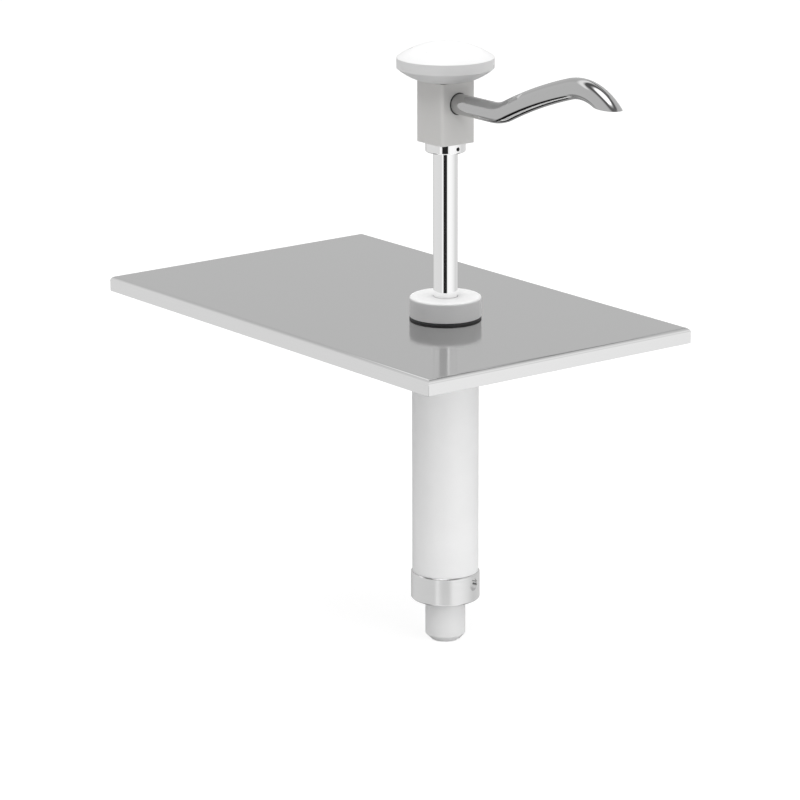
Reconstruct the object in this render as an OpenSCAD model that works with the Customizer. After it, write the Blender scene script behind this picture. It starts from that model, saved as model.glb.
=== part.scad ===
// Sauce pump dispenser on a stainless lid for a quarter-size gastronorm pan.
// Millimetres, +Z up. The origin is the middle of the lid, on the plane of the
// flanges' lower edges, which lie on the pan's rim. +X is the way the spout points.

/* [Lid] */
// Length of the lid over its flanges
lid_l = 265; // [200:1:330]
// Width of the lid over its flanges
lid_w = 162; // [110:1:220]
// Height of the lid, from the flanges' lower edges to its top
lid_h = 7.7; // [5:0.1:14]
// Thickness of the sheet
lid_t = 1.0; // [0.6:0.1:1.4]
// Outer radius of the bend into each flange
bend_r = 2.6; // [1.4:0.1:3.6]
// Depth of the seam where two flanges meet at a corner
seam_depth = 0.9; // [0.3:0.1:1.2]
// Width of that seam
seam_w = 0.4; // [0.2:0.1:0.8]
// Distance from the pump's axis to the spout end of the lid
pump_inset = 90.1; // [60:0.1:130]

/* [Clamp on the lid] */
// Thickness of the black gasket
gasket_t = 1.1; // [0.8:0.1:3]
// Height of the white collar nut
collar_h = 9.9; // [8:0.1:16]
// Wall of the collar nut around the cylinder's neck
collar_wall = 4.2; // [2.5:0.1:8]
// Thickness of the collar nut's top
collar_top_t = 2.0; // [1:0.1:3]
// Radius of the collar nut's top edge
collar_round = 1.3; // [0.3:0.1:1.9]
// Thickness of the guide bush's flange, which the collar nut holds down
bush_flange_t = 1.5; // [0.8:0.1:2.5]
// Width of that flange outside the bush's body
bush_flange_w = 2.5; // [1:0.1:3]
// Wall of the guide bush around the stem
bush_wall = 2.5; // [1.6:0.1:3.2]
// Height of the wiper ring under the bush
wiper_h = 3.0; // [1.5:0.1:3.5]

/* [Cylinder] */
// Bore of the pump cylinder
bore_d = 27; // [24:0.1:32]
// Wall of the pump cylinder
cyl_wall = 3.0; // [2.4:0.1:5]
// Length of the cylinder from the lid's underside to the ring nut
cyl_len = 128.6; // [110:0.1:170]
// Width of the shoulder that bears on the lid's underside
shoulder_w = 3.0; // [1:0.1:4]
// Thickness of the web that the piston stops against
web_t = 3.5; // [2:0.1:4.5]
// Drop of that web's lower face under the shoulder
web_drop = 3.6; // [1:0.1:6]
// Diameter of the vent above the piston
vent_d = 2.0; // [1:0.1:2.5]

/* [Ring nut and foot valve] */
// Height of the ring nut
nut_h = 14; // [12:0.1:20]
// Wall of the ring nut around the cylinder's threaded tail
nut_wall = 2.1; // [1.8:0.1:5]
// Step from the cylinder's outside down to its threaded tail
tail_step = 1.5; // [0.5:0.1:2]
// Thickness of the lip that holds up the foot valve
nut_lip_t = 3.0; // [1:0.1:4]
// Bevel on the ring nut's edges
nut_bevel = 0.5; // [0.2:0.1:0.9]
// Diameter of the spanner holes in the ring nut
spanner_d = 6; // [3:0.1:8]
// Depth of the spanner holes
spanner_depth = 1.5; // [0.5:0.1:1.6]
// Height of the spanner holes' centres over the ring nut's lower edge
spanner_up = 9; // [5:0.1:10]
// Turn of the first spanner hole from the way the spout points
spanner_turn = 18; // [0:1:90]
// Thickness of the foot valve's flange
valve_flange_t = 3.0; // [1.5:0.1:4]
// Height of the foot valve's plug inside the cylinder
plug_h = 10; // [9:0.1:14]
// Diameter of the suction spigot
spigot_d = 20; // [19:0.1:24]
// Length of the suction spigot below the ring nut
spigot_len = 21.7; // [18:0.1:40]
// Chamfer on the spigot's end
spigot_chamfer = 3.0; // [1:0.1:3.5]
// Bore of the suction inlet
inlet_d = 12; // [9:0.1:12.5]
// Width of the slot across the spigot's end
slot_w = 3.0; // [2:0.1:6]
// Depth of that slot
slot_depth = 3.3; // [1:0.1:6]
// Turn of that slot from the way the spout points
slot_turn = 22; // [0:1:90]

/* [Stem] */
// Outer diameter of the stem
stem_d = 12; // [10:0.1:13]
// Wall of the stem
stem_wall = 2.0; // [1:0.1:2.4]
// Length of stem between the collar nut and the ring under the head
stem_show = 72.2; // [66:0.1:90]
// Diameter of the ring under the head
ring_d = 19.6; // [18:0.1:20.4]
// Height of that ring
ring_h = 4.7; // [3.6:0.1:8]
// Diameter of the grub screw in the ring
grub_d = 1.9; // [1.4:0.1:3]

/* [Head] */
// Width of the square head block
block_w = 20.6; // [20:0.1:26]
// Height of the head block
block_h = 30.5; // [29:0.1:40]
// Radius of the head block's upright edges
block_round = 1.1; // [0.4:0.1:2]
// Depth of the stem in the head block
head_engage = 9.5; // [8:0.1:11]
// Diameter of the knob
knob_d = 47.5; // [36:0.1:60]
// Diameter of the knob's foot on the head block
knob_foot_d = 25.1; // [20:0.1:30]
// Height from the head block to the knob's rim
knob_bowl_h = 6.0; // [4:0.1:12]
// Radius of the curve between the knob's foot and its rim
knob_bowl_r = 29; // [20:0.5:60]
// Height of the knob's rim
knob_rim_h = 5.1; // [2:0.1:8]
// Height of the dome above the rim
knob_dome_h = 7.7; // [4:0.1:14]
// Thread diameter of the knob's stud
stud_d = 6; // [4:0.1:8]
// Depth of the stud in the head block
stud_down = 4.5; // [3:0.1:4.9]
// Depth of the stud in the knob
stud_up = 8; // [5:0.1:10]

/* [Spout] */
// Outer diameter of the spout's tube
spout_d = 10.1; // [8:0.1:11]
// Wall of the spout's tube
spout_wall = 1.0; // [0.6:0.1:1.6]
// Height of the spout's axis above the head block's lower face
spout_up = 20.1; // [18:0.1:20.5]
// Distance from the pump's axis to the start of the first bend
spout_level = 37.0; // [25:0.1:60]
// Centre-line radius of the first bend
bend_radius = 26.0; // [12:0.1:60]
// Slope of the tube after the first bend, in degrees
bend_slope = 25.5; // [18:0.1:35]
// Centre-line radius of the long rise
rise_radius = 290; // [200:1:500]
// Slope of the tube at the end of the rise, in degrees
rise_slope = 15.9; // [8:0.1:17.5]
// Centre-line radius of the crest
crest_radius = 31.5; // [26:0.1:60]
// Drop from the crest of the centre line to the level cut at the mouth
mouth_drop = 6.5; // [5.5:0.1:12]
// Depth of the spout in the head block
spout_in = 7.3; // [5:0.1:8]
// Thickness of the sealing ring at the spout's root
root_ring_t = 0.8; // [0.6:0.1:1.6]

/* [Piston and valves] */
// Height of the piston
piston_h = 28; // [26:0.1:34]
// Depth of the stem in the piston
stem_engage = 10; // [7:0.1:11]
// Section diameter of the piston's two seals
seal_d = 3.0; // [2:0.1:3.6]
// Diameter of the discharge ball
up_ball_d = 9.5; // [8:0.1:10]
// Height of the discharge valve's seat
seat_h = 5; // [4.6:0.1:6]
// Throat of the discharge valve's seat
seat_throat_d = 5.6; // [4:0.1:6]
// Diameter of the pin above the discharge ball
up_pin_d = 2.0; // [1.5:0.1:2.4]
// Diameter of the foot ball
foot_ball_d = 13; // [12:0.1:13.4]
// Throat under the foot ball
foot_throat_d = 8; // [6:0.1:8.6]
// Diameter of the pin above the foot ball
foot_pin_d = 2.5; // [2:0.1:3]
// Lift of each ball off its seat
ball_lift = 3.0; // [2:0.1:3]
// Thickness of the thrust washer over the spring
washer_t = 1.5; // [1:0.1:3]

/* [Spring] */
// Wire diameter of the return spring
wire_d = 2.0; // [1.4:0.1:2.2]
// Turns of the return spring
spring_turns = 12; // [9:1:13]
// Gap between the spring and the cylinder's bore
spring_side = 1.0; // [0.6:0.1:1.6]
// Gap between the closed end turns
coil_gap = 0.5; // [0.45:0.05:0.8]

/* [Clearances] */
// Radial clearance of the stem in its bush and wiper
stem_gap = 0.05; // [0.02:0.01:0.1]
// Radial clearance of the piston in the bore
piston_gap = 0.08; // [0.02:0.01:0.1]
// Radial clearance where one fixed piece sits in another
seat_gap = 0.05; // [0.02:0.01:0.1]
// Radial clearance around the neck in the lid
hole_gap = 0.2; // [0.1:0.05:0.6]
// Radial clearance of the stem in the collar nut
collar_gap = 0.3; // [0.2:0.05:0.6]
// Gap between pieces that bear on each other and turn or slide apart
face_gap = 0.3; // [0.1:0.05:0.4]

/* [Hidden] */
$fn = 96;
overrun = 1;
spring_rings = 8;
wire_sides = 6;

// Places on the pump's axis
pump_x = lid_l/2 - pump_inset;
z_under = lid_h - lid_t;
z_gasket_top = lid_h + gasket_t;
z_collar_top = z_gasket_top + collar_h;
z_flange_top = z_collar_top - collar_top_t;
z_neck_top = z_flange_top - bush_flange_t;
z_ring = z_collar_top + stem_show;
z_block = z_ring + ring_h;
z_block_top = z_block + block_h;
z_spout = z_block + spout_up;
z_stem_top = z_block + head_engage;

// Places inside the cylinder and below it
z_bore_top = z_under - web_drop;
z_ledge = z_bore_top + web_t;
z_wiper_top = z_ledge + wiper_h;
z_nut_top = z_under - cyl_len;
z_nut_bottom = z_nut_top - nut_h;
z_nut_lip = z_nut_bottom + nut_lip_t;
z_tail = z_nut_lip + valve_flange_t;
z_plug_top = z_tail + plug_h;
z_inlet = z_nut_bottom - spigot_len;
z_piston_top = z_bore_top - face_gap;
z_piston_bottom = z_piston_top - piston_h;
z_washer_top = z_piston_bottom - face_gap;
z_washer_bottom = z_washer_top - washer_t;
z_stem_bottom = z_piston_top - stem_engage;

// Diameters that follow from the driving sizes
cyl_d = bore_d + 2*cyl_wall;
neck_d = cyl_d - 2*shoulder_w;
collar_d = neck_d + 2*collar_wall;
lid_hole_d = neck_d + 2*hole_gap;
bush_d = stem_d + 2*bush_wall;
tail_d = cyl_d - 2*tail_step;
nut_d = tail_d + 2*nut_wall;
shoulder_d = spigot_d + 2*face_gap;
stem_bore_d = stem_d - 2*stem_wall;
piston_d = bore_d - 2*piston_gap;
spout_bore_d = spout_d - 2*spout_wall;

// Sealing rings: section diameter and the radius of the section's centre
small_ring_d = 1.8;
ring_groove_room = 0.2;
plug_ring_up = 7.4;
plug_ring_radius = bore_d/2 - seat_gap - small_ring_d/2;
head_ring_up = 4;
head_ring_radius = stem_d/2 + stem_gap + small_ring_d/2;
root_ring_radius = spout_d/2 + seat_gap + root_ring_t/2;
seal_radius = bore_d/2 - piston_gap - seal_d/2;
seal_inset = 5.5;

// Ball valves: each ball rests on a cone of 45 degrees
seat_slope = 45;
ball_rest_gap = 0.05;
foot_room = 0.75;
foot_pin_up = 3;
foot_chamber_d = foot_ball_d + 2*foot_room;
z_foot_pin = z_tail + foot_pin_up;
z_foot_ball = z_foot_pin - foot_pin_d/2 - ball_rest_gap - ball_lift - foot_ball_d/2;
z_foot_throat = cone_foot(z_foot_ball, foot_ball_d, foot_throat_d);
z_foot_seat = z_foot_throat + (foot_chamber_d - foot_throat_d)/2;
foot_throat_h = 3.8;
z_inlet_top = z_foot_throat - foot_throat_h;
up_room = 1.25;
up_chamber_d = up_ball_d + 2*up_room;
seat_wall = 2;
seat_d = up_chamber_d + 2*seat_wall;
seat_cone_d = up_chamber_d - 2*face_gap;
z_seat_top = z_piston_bottom + seat_h;
z_up_throat = z_seat_top - (seat_cone_d - seat_throat_d)/2;
z_up_ball = z_up_throat + ball_over_throat(up_ball_d, seat_throat_d);
z_up_pin = z_up_ball + up_ball_d/2 + ball_lift + ball_rest_gap + up_pin_d/2;
seat_slot_w = 2;
seat_slot_depth = 1;

// Small edges
edge = 0.4;
stem_edge = 0.5;
vent_below_web = 1.6;
socket_across = 1.1;
socket_depth = 1.6;
grub_inset = 0.6;
wiper_groove_w = 0.9;
wiper_groove_depth = 1.3;
pin_short = 0.2;
washer_in = 1.0;
washer_w = 3.6;
channel_d = 8;
channel_back = 4;

// Height of a ball's centre over the throat of its conical seat, a small gap clear of it
function ball_over_throat(ball, throat) =
    (ball/2 + ball_rest_gap)/sin(seat_slope) - throat/2;
// Height of the throat under a ball whose centre is at z
function cone_foot(z, ball, throat) = z - ball_over_throat(ball, throat);

module on_axis(z) translate([pump_x, 0, z]) children();

// A round solid on the pump's axis between two heights
module rod(z0, z1, d) on_axis(z0) cylinder(d = d, h = z1 - z0);

// A cone or a chamfered end on the pump's axis between two heights
module taper(z0, z1, d0, d1) on_axis(z0) cylinder(d1 = d0, d2 = d1, h = z1 - z0);

// A hole on the pump's axis that runs past both heights
module drill(z0, z1, d) rod(z0 - overrun, z1 + overrun, d);

module ring_at(z, radius, section)
    on_axis(z) rotate_extrude() translate([radius, 0]) circle(d = section, $fn = 48);

// Half of an upright section with a rounded upper outer edge
module rounded_half(r, h, edge_r) {
    square([r, h - edge_r]);
    square([r - edge_r, h]);
    translate([r - edge_r, h - edge_r]) circle(r = edge_r, $fn = 48);
}

// End view of a sheet box whose two upper edges are bent round
module bent_profile(w, h, r) {
    translate([-w/2, 0]) square([w, h - r]);
    translate([-w/2 + r, 0]) square([w - 2*r, h]);
    for (side = [-1, 1]) translate([side*(w/2 - r), h - r]) circle(r = r, $fn = 48);
}

// Solid block with four bent upper edges, mitred at the corners
module bent_block(l, w, h, r) {
    intersection() {
        rotate([90, 0, 0]) linear_extrude(w, center = true) bent_profile(l, h, r);
        rotate([90, 0, 90]) linear_extrude(l, center = true) bent_profile(w, h, r);
    }
}

module lid_plate() color("silver") difference() {
    bent_block(lid_l, lid_w, lid_h, bend_r);
    translate([0, 0, -overrun])
        bent_block(lid_l - 2*lid_t, lid_w - 2*lid_t, z_under + overrun, bend_r - lid_t);
    drill(z_under, lid_h, lid_hole_d);
    for (sx = [-1, 1], sy = [-1, 1])
        translate([sx*lid_l/2, sy*lid_w/2, 0]) rotate(45*sx*sy)
            translate([-seam_depth, -seam_w/2, -overrun])
                cube([2*seam_depth, seam_w, lid_h - bend_r + overrun]);
}

module plate_gasket() color([0.08, 0.08, 0.08]) difference() {
    rod(lid_h, z_gasket_top, collar_d);
    drill(lid_h, z_gasket_top, lid_hole_d);
}

module collar_nut() color("white") difference() {
    on_axis(z_gasket_top) rotate_extrude() rounded_half(collar_d/2, collar_h, collar_round);
    rod(z_gasket_top - overrun, z_flange_top, neck_d + 2*seat_gap);
    drill(z_gasket_top, z_collar_top, stem_d + 2*collar_gap);
}

module guide_bush() color("whitesmoke") difference() {
    union() {
        rod(z_wiper_top, z_neck_top, bush_d - 2*seat_gap);
        rod(z_neck_top, z_flange_top, bush_d + 2*bush_flange_w);
    }
    drill(z_wiper_top, z_flange_top, stem_d + 2*stem_gap);
}

module stem_wiper() color([0.12, 0.12, 0.12]) difference() {
    rod(z_ledge, z_wiper_top, bush_d - 2*seat_gap);
    drill(z_ledge, z_wiper_top, stem_d + 2*stem_gap);
    difference() {
        rod(z_ledge - overrun, z_ledge + wiper_groove_depth, stem_d + bush_wall + wiper_groove_w);
        drill(z_ledge, z_wiper_top, stem_d + bush_wall - wiper_groove_w);
    }
}

module pump_cylinder() color("white") difference() {
    union() {
        rod(z_nut_top, z_under, cyl_d);
        rod(z_under, z_neck_top - edge, neck_d);
        taper(z_neck_top - edge, z_neck_top, neck_d, neck_d - 2*edge);
        rod(z_tail, z_nut_top, tail_d);
    }
    rod(z_tail - overrun, z_bore_top, bore_d);
    rod(z_ledge, z_neck_top + overrun, bush_d);
    drill(z_bore_top, z_ledge, (stem_d + bush_d)/2);
    on_axis(z_bore_top - vent_below_web) rotate([0, 90, 135]) cylinder(d = vent_d, h = cyl_d);
}

// The spring's wire: a helix whose two end turns are closed
spring_h = z_washer_bottom - z_plug_top - wire_d - 2*seat_gap;
end_pitch = wire_d + coil_gap;
spring_radius = (bore_d - wire_d)/2 - spring_side;
function coil_z(t) =
    t < 1 ? end_pitch*t
    : t > spring_turns - 1 ? spring_h - end_pitch*(spring_turns - t)
    : end_pitch + (t - 1)*(spring_h - 2*end_pitch)/(spring_turns - 2);
function coil_point(i, k) =
    let (turn = i/spring_rings, around = 360*turn, about = 360*k/wire_sides,
         r = spring_radius + wire_d/2*cos(about))
    [r*cos(around), r*sin(around), coil_z(turn) + wire_d/2*sin(about)];
coil_steps = spring_turns*spring_rings;
coil_points = [for (i = [0:coil_steps], k = [0:wire_sides - 1]) coil_point(i, k)];
coil_sides = [for (i = [0:coil_steps - 1], k = [0:wire_sides - 1])
    let (n = (k + 1) % wire_sides, a = i*wire_sides, b = a + wire_sides)
    each [[a + k, b + k, b + n], [a + k, b + n, a + n]]];
coil_ends = [for (k = [1:wire_sides - 2]) each [
    [0, k, k + 1],
    [coil_steps*wire_sides, coil_steps*wire_sides + k + 1, coil_steps*wire_sides + k]]];
least_coil_gap = min([for (i = [0:coil_steps - spring_rings])
    coil_z((i + spring_rings)/spring_rings) - coil_z(i/spring_rings)]) - wire_d;
echo(str("Least gap between the spring's coils: ", least_coil_gap));

module return_spring() color("gray")
    on_axis(z_plug_top + seat_gap + wire_d/2)
        polyhedron(points = coil_points, faces = concat(coil_sides, coil_ends), convexity = 10);

module valve_ring_nut() color([0.72, 0.73, 0.74]) difference() {
    union() {
        taper(z_nut_bottom, z_nut_bottom + nut_bevel, nut_d - 2*nut_bevel, nut_d);
        rod(z_nut_bottom + nut_bevel, z_nut_top - nut_bevel, nut_d);
        taper(z_nut_top - nut_bevel, z_nut_top, nut_d, nut_d - 2*nut_bevel);
    }
    rod(z_nut_lip, z_nut_top + overrun, tail_d + 2*seat_gap);
    drill(z_nut_bottom, z_nut_lip, shoulder_d + 2*seat_gap);
    for (turn = [0, 180])
        on_axis(z_nut_bottom + spanner_up) rotate([0, 90, spanner_turn + turn])
            translate([0, 0, nut_d/2 - spanner_depth])
                cylinder(d = spanner_d, h = spanner_depth + overrun);
}

module foot_valve_body() color("white") difference() {
    union() {
        taper(z_inlet, z_inlet + spigot_chamfer, spigot_d - 2*spigot_chamfer, spigot_d);
        rod(z_inlet + spigot_chamfer, z_nut_bottom, spigot_d);
        rod(z_nut_bottom, z_nut_lip, shoulder_d);
        rod(z_nut_lip, z_tail, tail_d - 2*seat_gap);
        rod(z_tail, z_plug_top, bore_d - 2*seat_gap);
    }
    rod(z_foot_seat, z_plug_top + overrun, foot_chamber_d);
    taper(z_foot_throat, z_foot_seat, foot_throat_d, foot_chamber_d);
    drill(z_inlet_top, z_foot_throat, foot_throat_d);
    rod(z_inlet - overrun, z_inlet_top, inlet_d);
    on_axis(z_inlet - overrun) rotate(slot_turn)
        translate([-spigot_d/2 - overrun, -slot_w/2, 0])
            cube([spigot_d + 2*overrun, slot_w, slot_depth + overrun]);
    plug_ring_groove();
    on_axis(z_foot_pin) rotate([90, 0, 0])
        cylinder(d = foot_pin_d + 2*seat_gap, h = bore_d + 2*overrun, center = true);
}

module plug_ring_groove() {
    groove_h = small_ring_d + ring_groove_room;
    floor_d = 2*plug_ring_radius - small_ring_d - 2*seat_gap;
    difference() {
        on_axis(z_tail + plug_ring_up - groove_h/2) cylinder(d = bore_d + overrun, h = groove_h);
        on_axis(z_tail + plug_ring_up - groove_h) cylinder(d = floor_d, h = 2*groove_h);
    }
}

module foot_valve_oring() color([0.12, 0.12, 0.12])
    ring_at(z_tail + plug_ring_up, plug_ring_radius, small_ring_d);

// A straight pin across the pump's axis
module cross_pin(z, d, span, turn) on_axis(z) rotate([90, 0, turn])
    cylinder(d = d, h = span - 2*pin_short, center = true);

module foot_ball_pin() color("silver") cross_pin(z_foot_pin, foot_pin_d, bore_d, 0);

module thrust_washer() color("silver") difference() {
    rod(z_washer_bottom, z_washer_top, bore_d - 2*washer_in);
    drill(z_washer_bottom, z_washer_top, bore_d - 2*washer_in - 2*washer_w);
}

module stem_tube() color("silver") difference() {
    union() {
        taper(z_stem_bottom, z_stem_bottom + stem_edge, stem_d - 2*stem_edge, stem_d);
        rod(z_stem_bottom + stem_edge, z_stem_top - stem_edge, stem_d);
        taper(z_stem_top - stem_edge, z_stem_top, stem_d, stem_d - 2*stem_edge);
    }
    drill(z_stem_bottom, z_stem_top, stem_bore_d);
}

module stem_ring() color("silver") difference() {
    union() {
        taper(z_ring, z_ring + edge, ring_d - 2*edge, ring_d);
        rod(z_ring + edge, z_block, ring_d);
    }
    drill(z_ring, z_block, stem_d + 2*seat_gap);
    on_axis((z_ring + z_block)/2) rotate([0, 90, 0])
        cylinder(d = grub_d + 2*seat_gap, h = ring_d);
}

module ring_grub_screw() color([0.25, 0.25, 0.25]) {
    inner = stem_d/2 + seat_gap;
    outer = ring_d/2 - grub_inset;
    on_axis((z_ring + z_block)/2) rotate([0, 90, 0]) difference() {
        translate([0, 0, inner]) cylinder(d = grub_d, h = outer - inner);
        translate([0, 0, outer - socket_depth])
            cylinder(d = socket_across, h = socket_depth + overrun, $fn = 6);
    }
}

module block_outline() {
    flat = block_w - 2*block_round;
    square([flat, block_w], center = true);
    square([block_w, flat], center = true);
    for (sx = [-1, 1], sy = [-1, 1])
        translate([sx*flat/2, sy*flat/2]) circle(r = block_round, $fn = 48);
}

module head_block() color([0.86, 0.87, 0.87]) difference() {
    on_axis(z_block) linear_extrude(block_h) block_outline();
    rod(z_block - overrun, z_stem_top + seat_gap, stem_d + 2*seat_gap);
    on_axis(z_block + head_ring_up - small_ring_d/2 - ring_groove_room/2)
        cylinder(d = 2*head_ring_radius + small_ring_d + 2*seat_gap, h = small_ring_d + ring_groove_room);
    rod(z_stem_top, z_spout, channel_d);
    on_axis(z_spout) rotate([0, 90, 0]) {
        translate([0, 0, block_w/2 - spout_in - seat_gap])
            cylinder(d = spout_d + 2*seat_gap, h = spout_in + overrun);
        translate([0, 0, -channel_back]) cylinder(d = channel_d, h = block_w/2);
        translate([0, 0, block_w/2 - root_ring_t])
            cylinder(d = 2*root_ring_radius + root_ring_t + 2*seat_gap, h = root_ring_t + overrun);
    }
    rod(z_block_top - stud_down - seat_gap, z_block_top + overrun, stud_d + 2*seat_gap);
}

module head_oring() color([0.12, 0.12, 0.12])
    ring_at(z_block + head_ring_up, head_ring_radius, small_ring_d);

// Centres of the spout's three arcs, as [distance from the pump's axis, height]
bend_mid = [spout_level, z_spout + bend_radius];
rise_start = bend_mid + bend_radius*[sin(bend_slope), -cos(bend_slope)];
rise_mid = rise_start + rise_radius*[sin(bend_slope), -cos(bend_slope)];
crest_start = rise_mid + rise_radius*[-sin(rise_slope), cos(rise_slope)];
crest_mid = crest_start + crest_radius*[sin(rise_slope), -cos(rise_slope)];
z_mouth = crest_mid[1] + crest_radius - mouth_drop;
// The crest's arc ends where the outside of its bend is well under the mouth
mouth_margin = 5;
crest_end = asin((crest_radius - mouth_drop)/(crest_radius + spout_d/2)) - mouth_margin;

// The tube's stretches overlap by a short lap. The two bends are a hair wider than the
// straight stretch and the rise, whose ends they take in, so the tube is one solid.
lap = 0.3;
lap_step = 0.03;
lap_turn = lap/rise_radius*180/PI;

module tube_section(step) difference() {
    circle(d = spout_d + 2*step, $fn = 48);
    circle(d = spout_bore_d - 2*step, $fn = 48);
}

// A bent tube in the upright plane through the spout, from one angle to another
module arc_tube(mid, radius, from, to, step) translate([pump_x + mid[0], 0, mid[1]])
    rotate([90, 0, 0]) rotate(from) rotate_extrude(angle = to - from)
        translate([radius, 0]) tube_section(step);

module spout() color("silver") difference() {
    union() {
        on_axis(z_spout) rotate([0, 90, 0]) translate([0, 0, block_w/2 - spout_in])
            linear_extrude(spout_level - block_w/2 + spout_in + lap) tube_section(0);
        arc_tube(bend_mid, bend_radius, -90, bend_slope - 90, lap_step);
        arc_tube(rise_mid, rise_radius, 90 + rise_slope - lap_turn, 90 + bend_slope + lap_turn, 0);
        arc_tube(crest_mid, crest_radius, crest_end, 90 + rise_slope, lap_step);
    }
    translate([pump_x + crest_mid[0], -spout_d, z_mouth - crest_radius])
        cube([crest_radius + spout_d, 2*spout_d, crest_radius]);
}

module spout_oring() color([0.12, 0.12, 0.12])
    on_axis(z_spout) rotate([0, 90, 0]) translate([0, 0, (block_w - root_ring_t)/2])
        rotate_extrude() translate([root_ring_radius, 0]) circle(d = root_ring_t, $fn = 32);

// Radius of the sphere whose cap has this rim radius and this height
function cap_radius(rim, h) = (rim*rim + h*h)/(2*h);
// Middle of the arc of radius r that bulges down and out between points a and b
function arc_middle(a, b, r) =
    let (chord = b - a, rise = sqrt(r*r/(chord*chord) - 1/4))
    (a + b)/2 + rise*[-chord[1], chord[0]];

module knob() color("white") {
    dome_r = cap_radius(knob_d/2, knob_dome_h);
    bowl_mid = arc_middle([knob_foot_d/2, 0], [knob_d/2, knob_bowl_h], knob_bowl_r);
    difference() {
        on_axis(z_block_top) rotate_extrude() {
            intersection() {
                translate(bowl_mid) circle(r = knob_bowl_r, $fn = 180);
                square([knob_d/2, knob_bowl_h]);
            }
            translate([0, knob_bowl_h]) square([knob_d/2, knob_rim_h]);
            intersection() {
                translate([0, knob_bowl_h + knob_rim_h + knob_dome_h - dome_r])
                    circle(r = dome_r, $fn = 180);
                translate([0, knob_bowl_h + knob_rim_h]) square([knob_d/2, knob_dome_h]);
            }
        }
        rod(z_block_top - overrun, z_block_top + stud_up + seat_gap, stud_d + 2*seat_gap);
    }
}

module knob_stud() color("silver") {
    foot = z_block_top - stud_down;
    top = z_block_top + stud_up;
    taper(foot, foot + edge, stud_d - 2*edge, stud_d);
    rod(foot + edge, top - edge, stud_d);
    taper(top - edge, top, stud_d, stud_d - 2*edge);
}

// Groove for one of the piston's seals
module seal_groove(z) {
    groove_h = seal_d + ring_groove_room;
    floor_d = 2*seal_radius - seal_d - 2*seat_gap;
    difference() {
        on_axis(z - groove_h/2) cylinder(d = bore_d + overrun, h = groove_h);
        on_axis(z - groove_h) cylinder(d = floor_d, h = 2*groove_h);
    }
}

module piston() color("whitesmoke") difference() {
    union() {
        rod(z_piston_bottom, z_piston_top - edge, piston_d);
        taper(z_piston_top - edge, z_piston_top, piston_d, piston_d - 2*edge);
    }
    rod(z_stem_bottom, z_piston_top + overrun, stem_d + 2*seat_gap);
    rod(z_seat_top, z_stem_bottom + seat_gap, up_chamber_d);
    rod(z_piston_bottom - overrun, z_seat_top, seat_d);
    seal_groove(z_piston_top - seal_inset);
    seal_groove(z_piston_bottom + seal_inset);
    on_axis(z_up_pin) rotate([0, 90, 0])
        cylinder(d = up_pin_d + 2*seat_gap, h = bore_d + 2*overrun, center = true);
}

module piston_seal_upper() color([0.12, 0.12, 0.12])
    ring_at(z_piston_top - seal_inset, seal_radius, seal_d);

module piston_seal_lower() color([0.12, 0.12, 0.12])
    ring_at(z_piston_bottom + seal_inset, seal_radius, seal_d);

module discharge_seat() color("whitesmoke") difference() {
    rod(z_piston_bottom, z_seat_top, seat_d - 2*seat_gap);
    taper(z_up_throat, z_seat_top, seat_throat_d, seat_cone_d);
    drill(z_piston_bottom, z_up_throat, seat_throat_d);
    on_axis(z_piston_bottom) cube([bore_d, seat_slot_w, 2*seat_slot_depth], center = true);
}

module discharge_ball_pin() color("silver") cross_pin(z_up_pin, up_pin_d, piston_d, 90);

module foot_ball() color("silver") on_axis(z_foot_ball) sphere(d = foot_ball_d);

module discharge_ball() color("silver") on_axis(z_up_ball) sphere(d = up_ball_d);

lid_plate();
plate_gasket();
collar_nut();
guide_bush();
stem_wiper();
pump_cylinder();
return_spring();
valve_ring_nut();
foot_valve_body();
foot_valve_oring();
foot_ball_pin();
thrust_washer();
stem_tube();
stem_ring();
ring_grub_screw();
head_block();
head_oring();
spout();
spout_oring();
knob();
knob_stud();
piston();
piston_seal_upper();
piston_seal_lower();
discharge_seat();
discharge_ball_pin();
foot_ball();
discharge_ball();
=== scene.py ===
"""Looks of a sauce pump dispenser on a stainless lid, built around its packed CAD model."""

import math

import bmesh
import bpy
from bpy.props import FloatProperty, FloatVectorProperty, IntProperty, PointerProperty
from mathutils import Matrix, Quaternion, Vector


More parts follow.
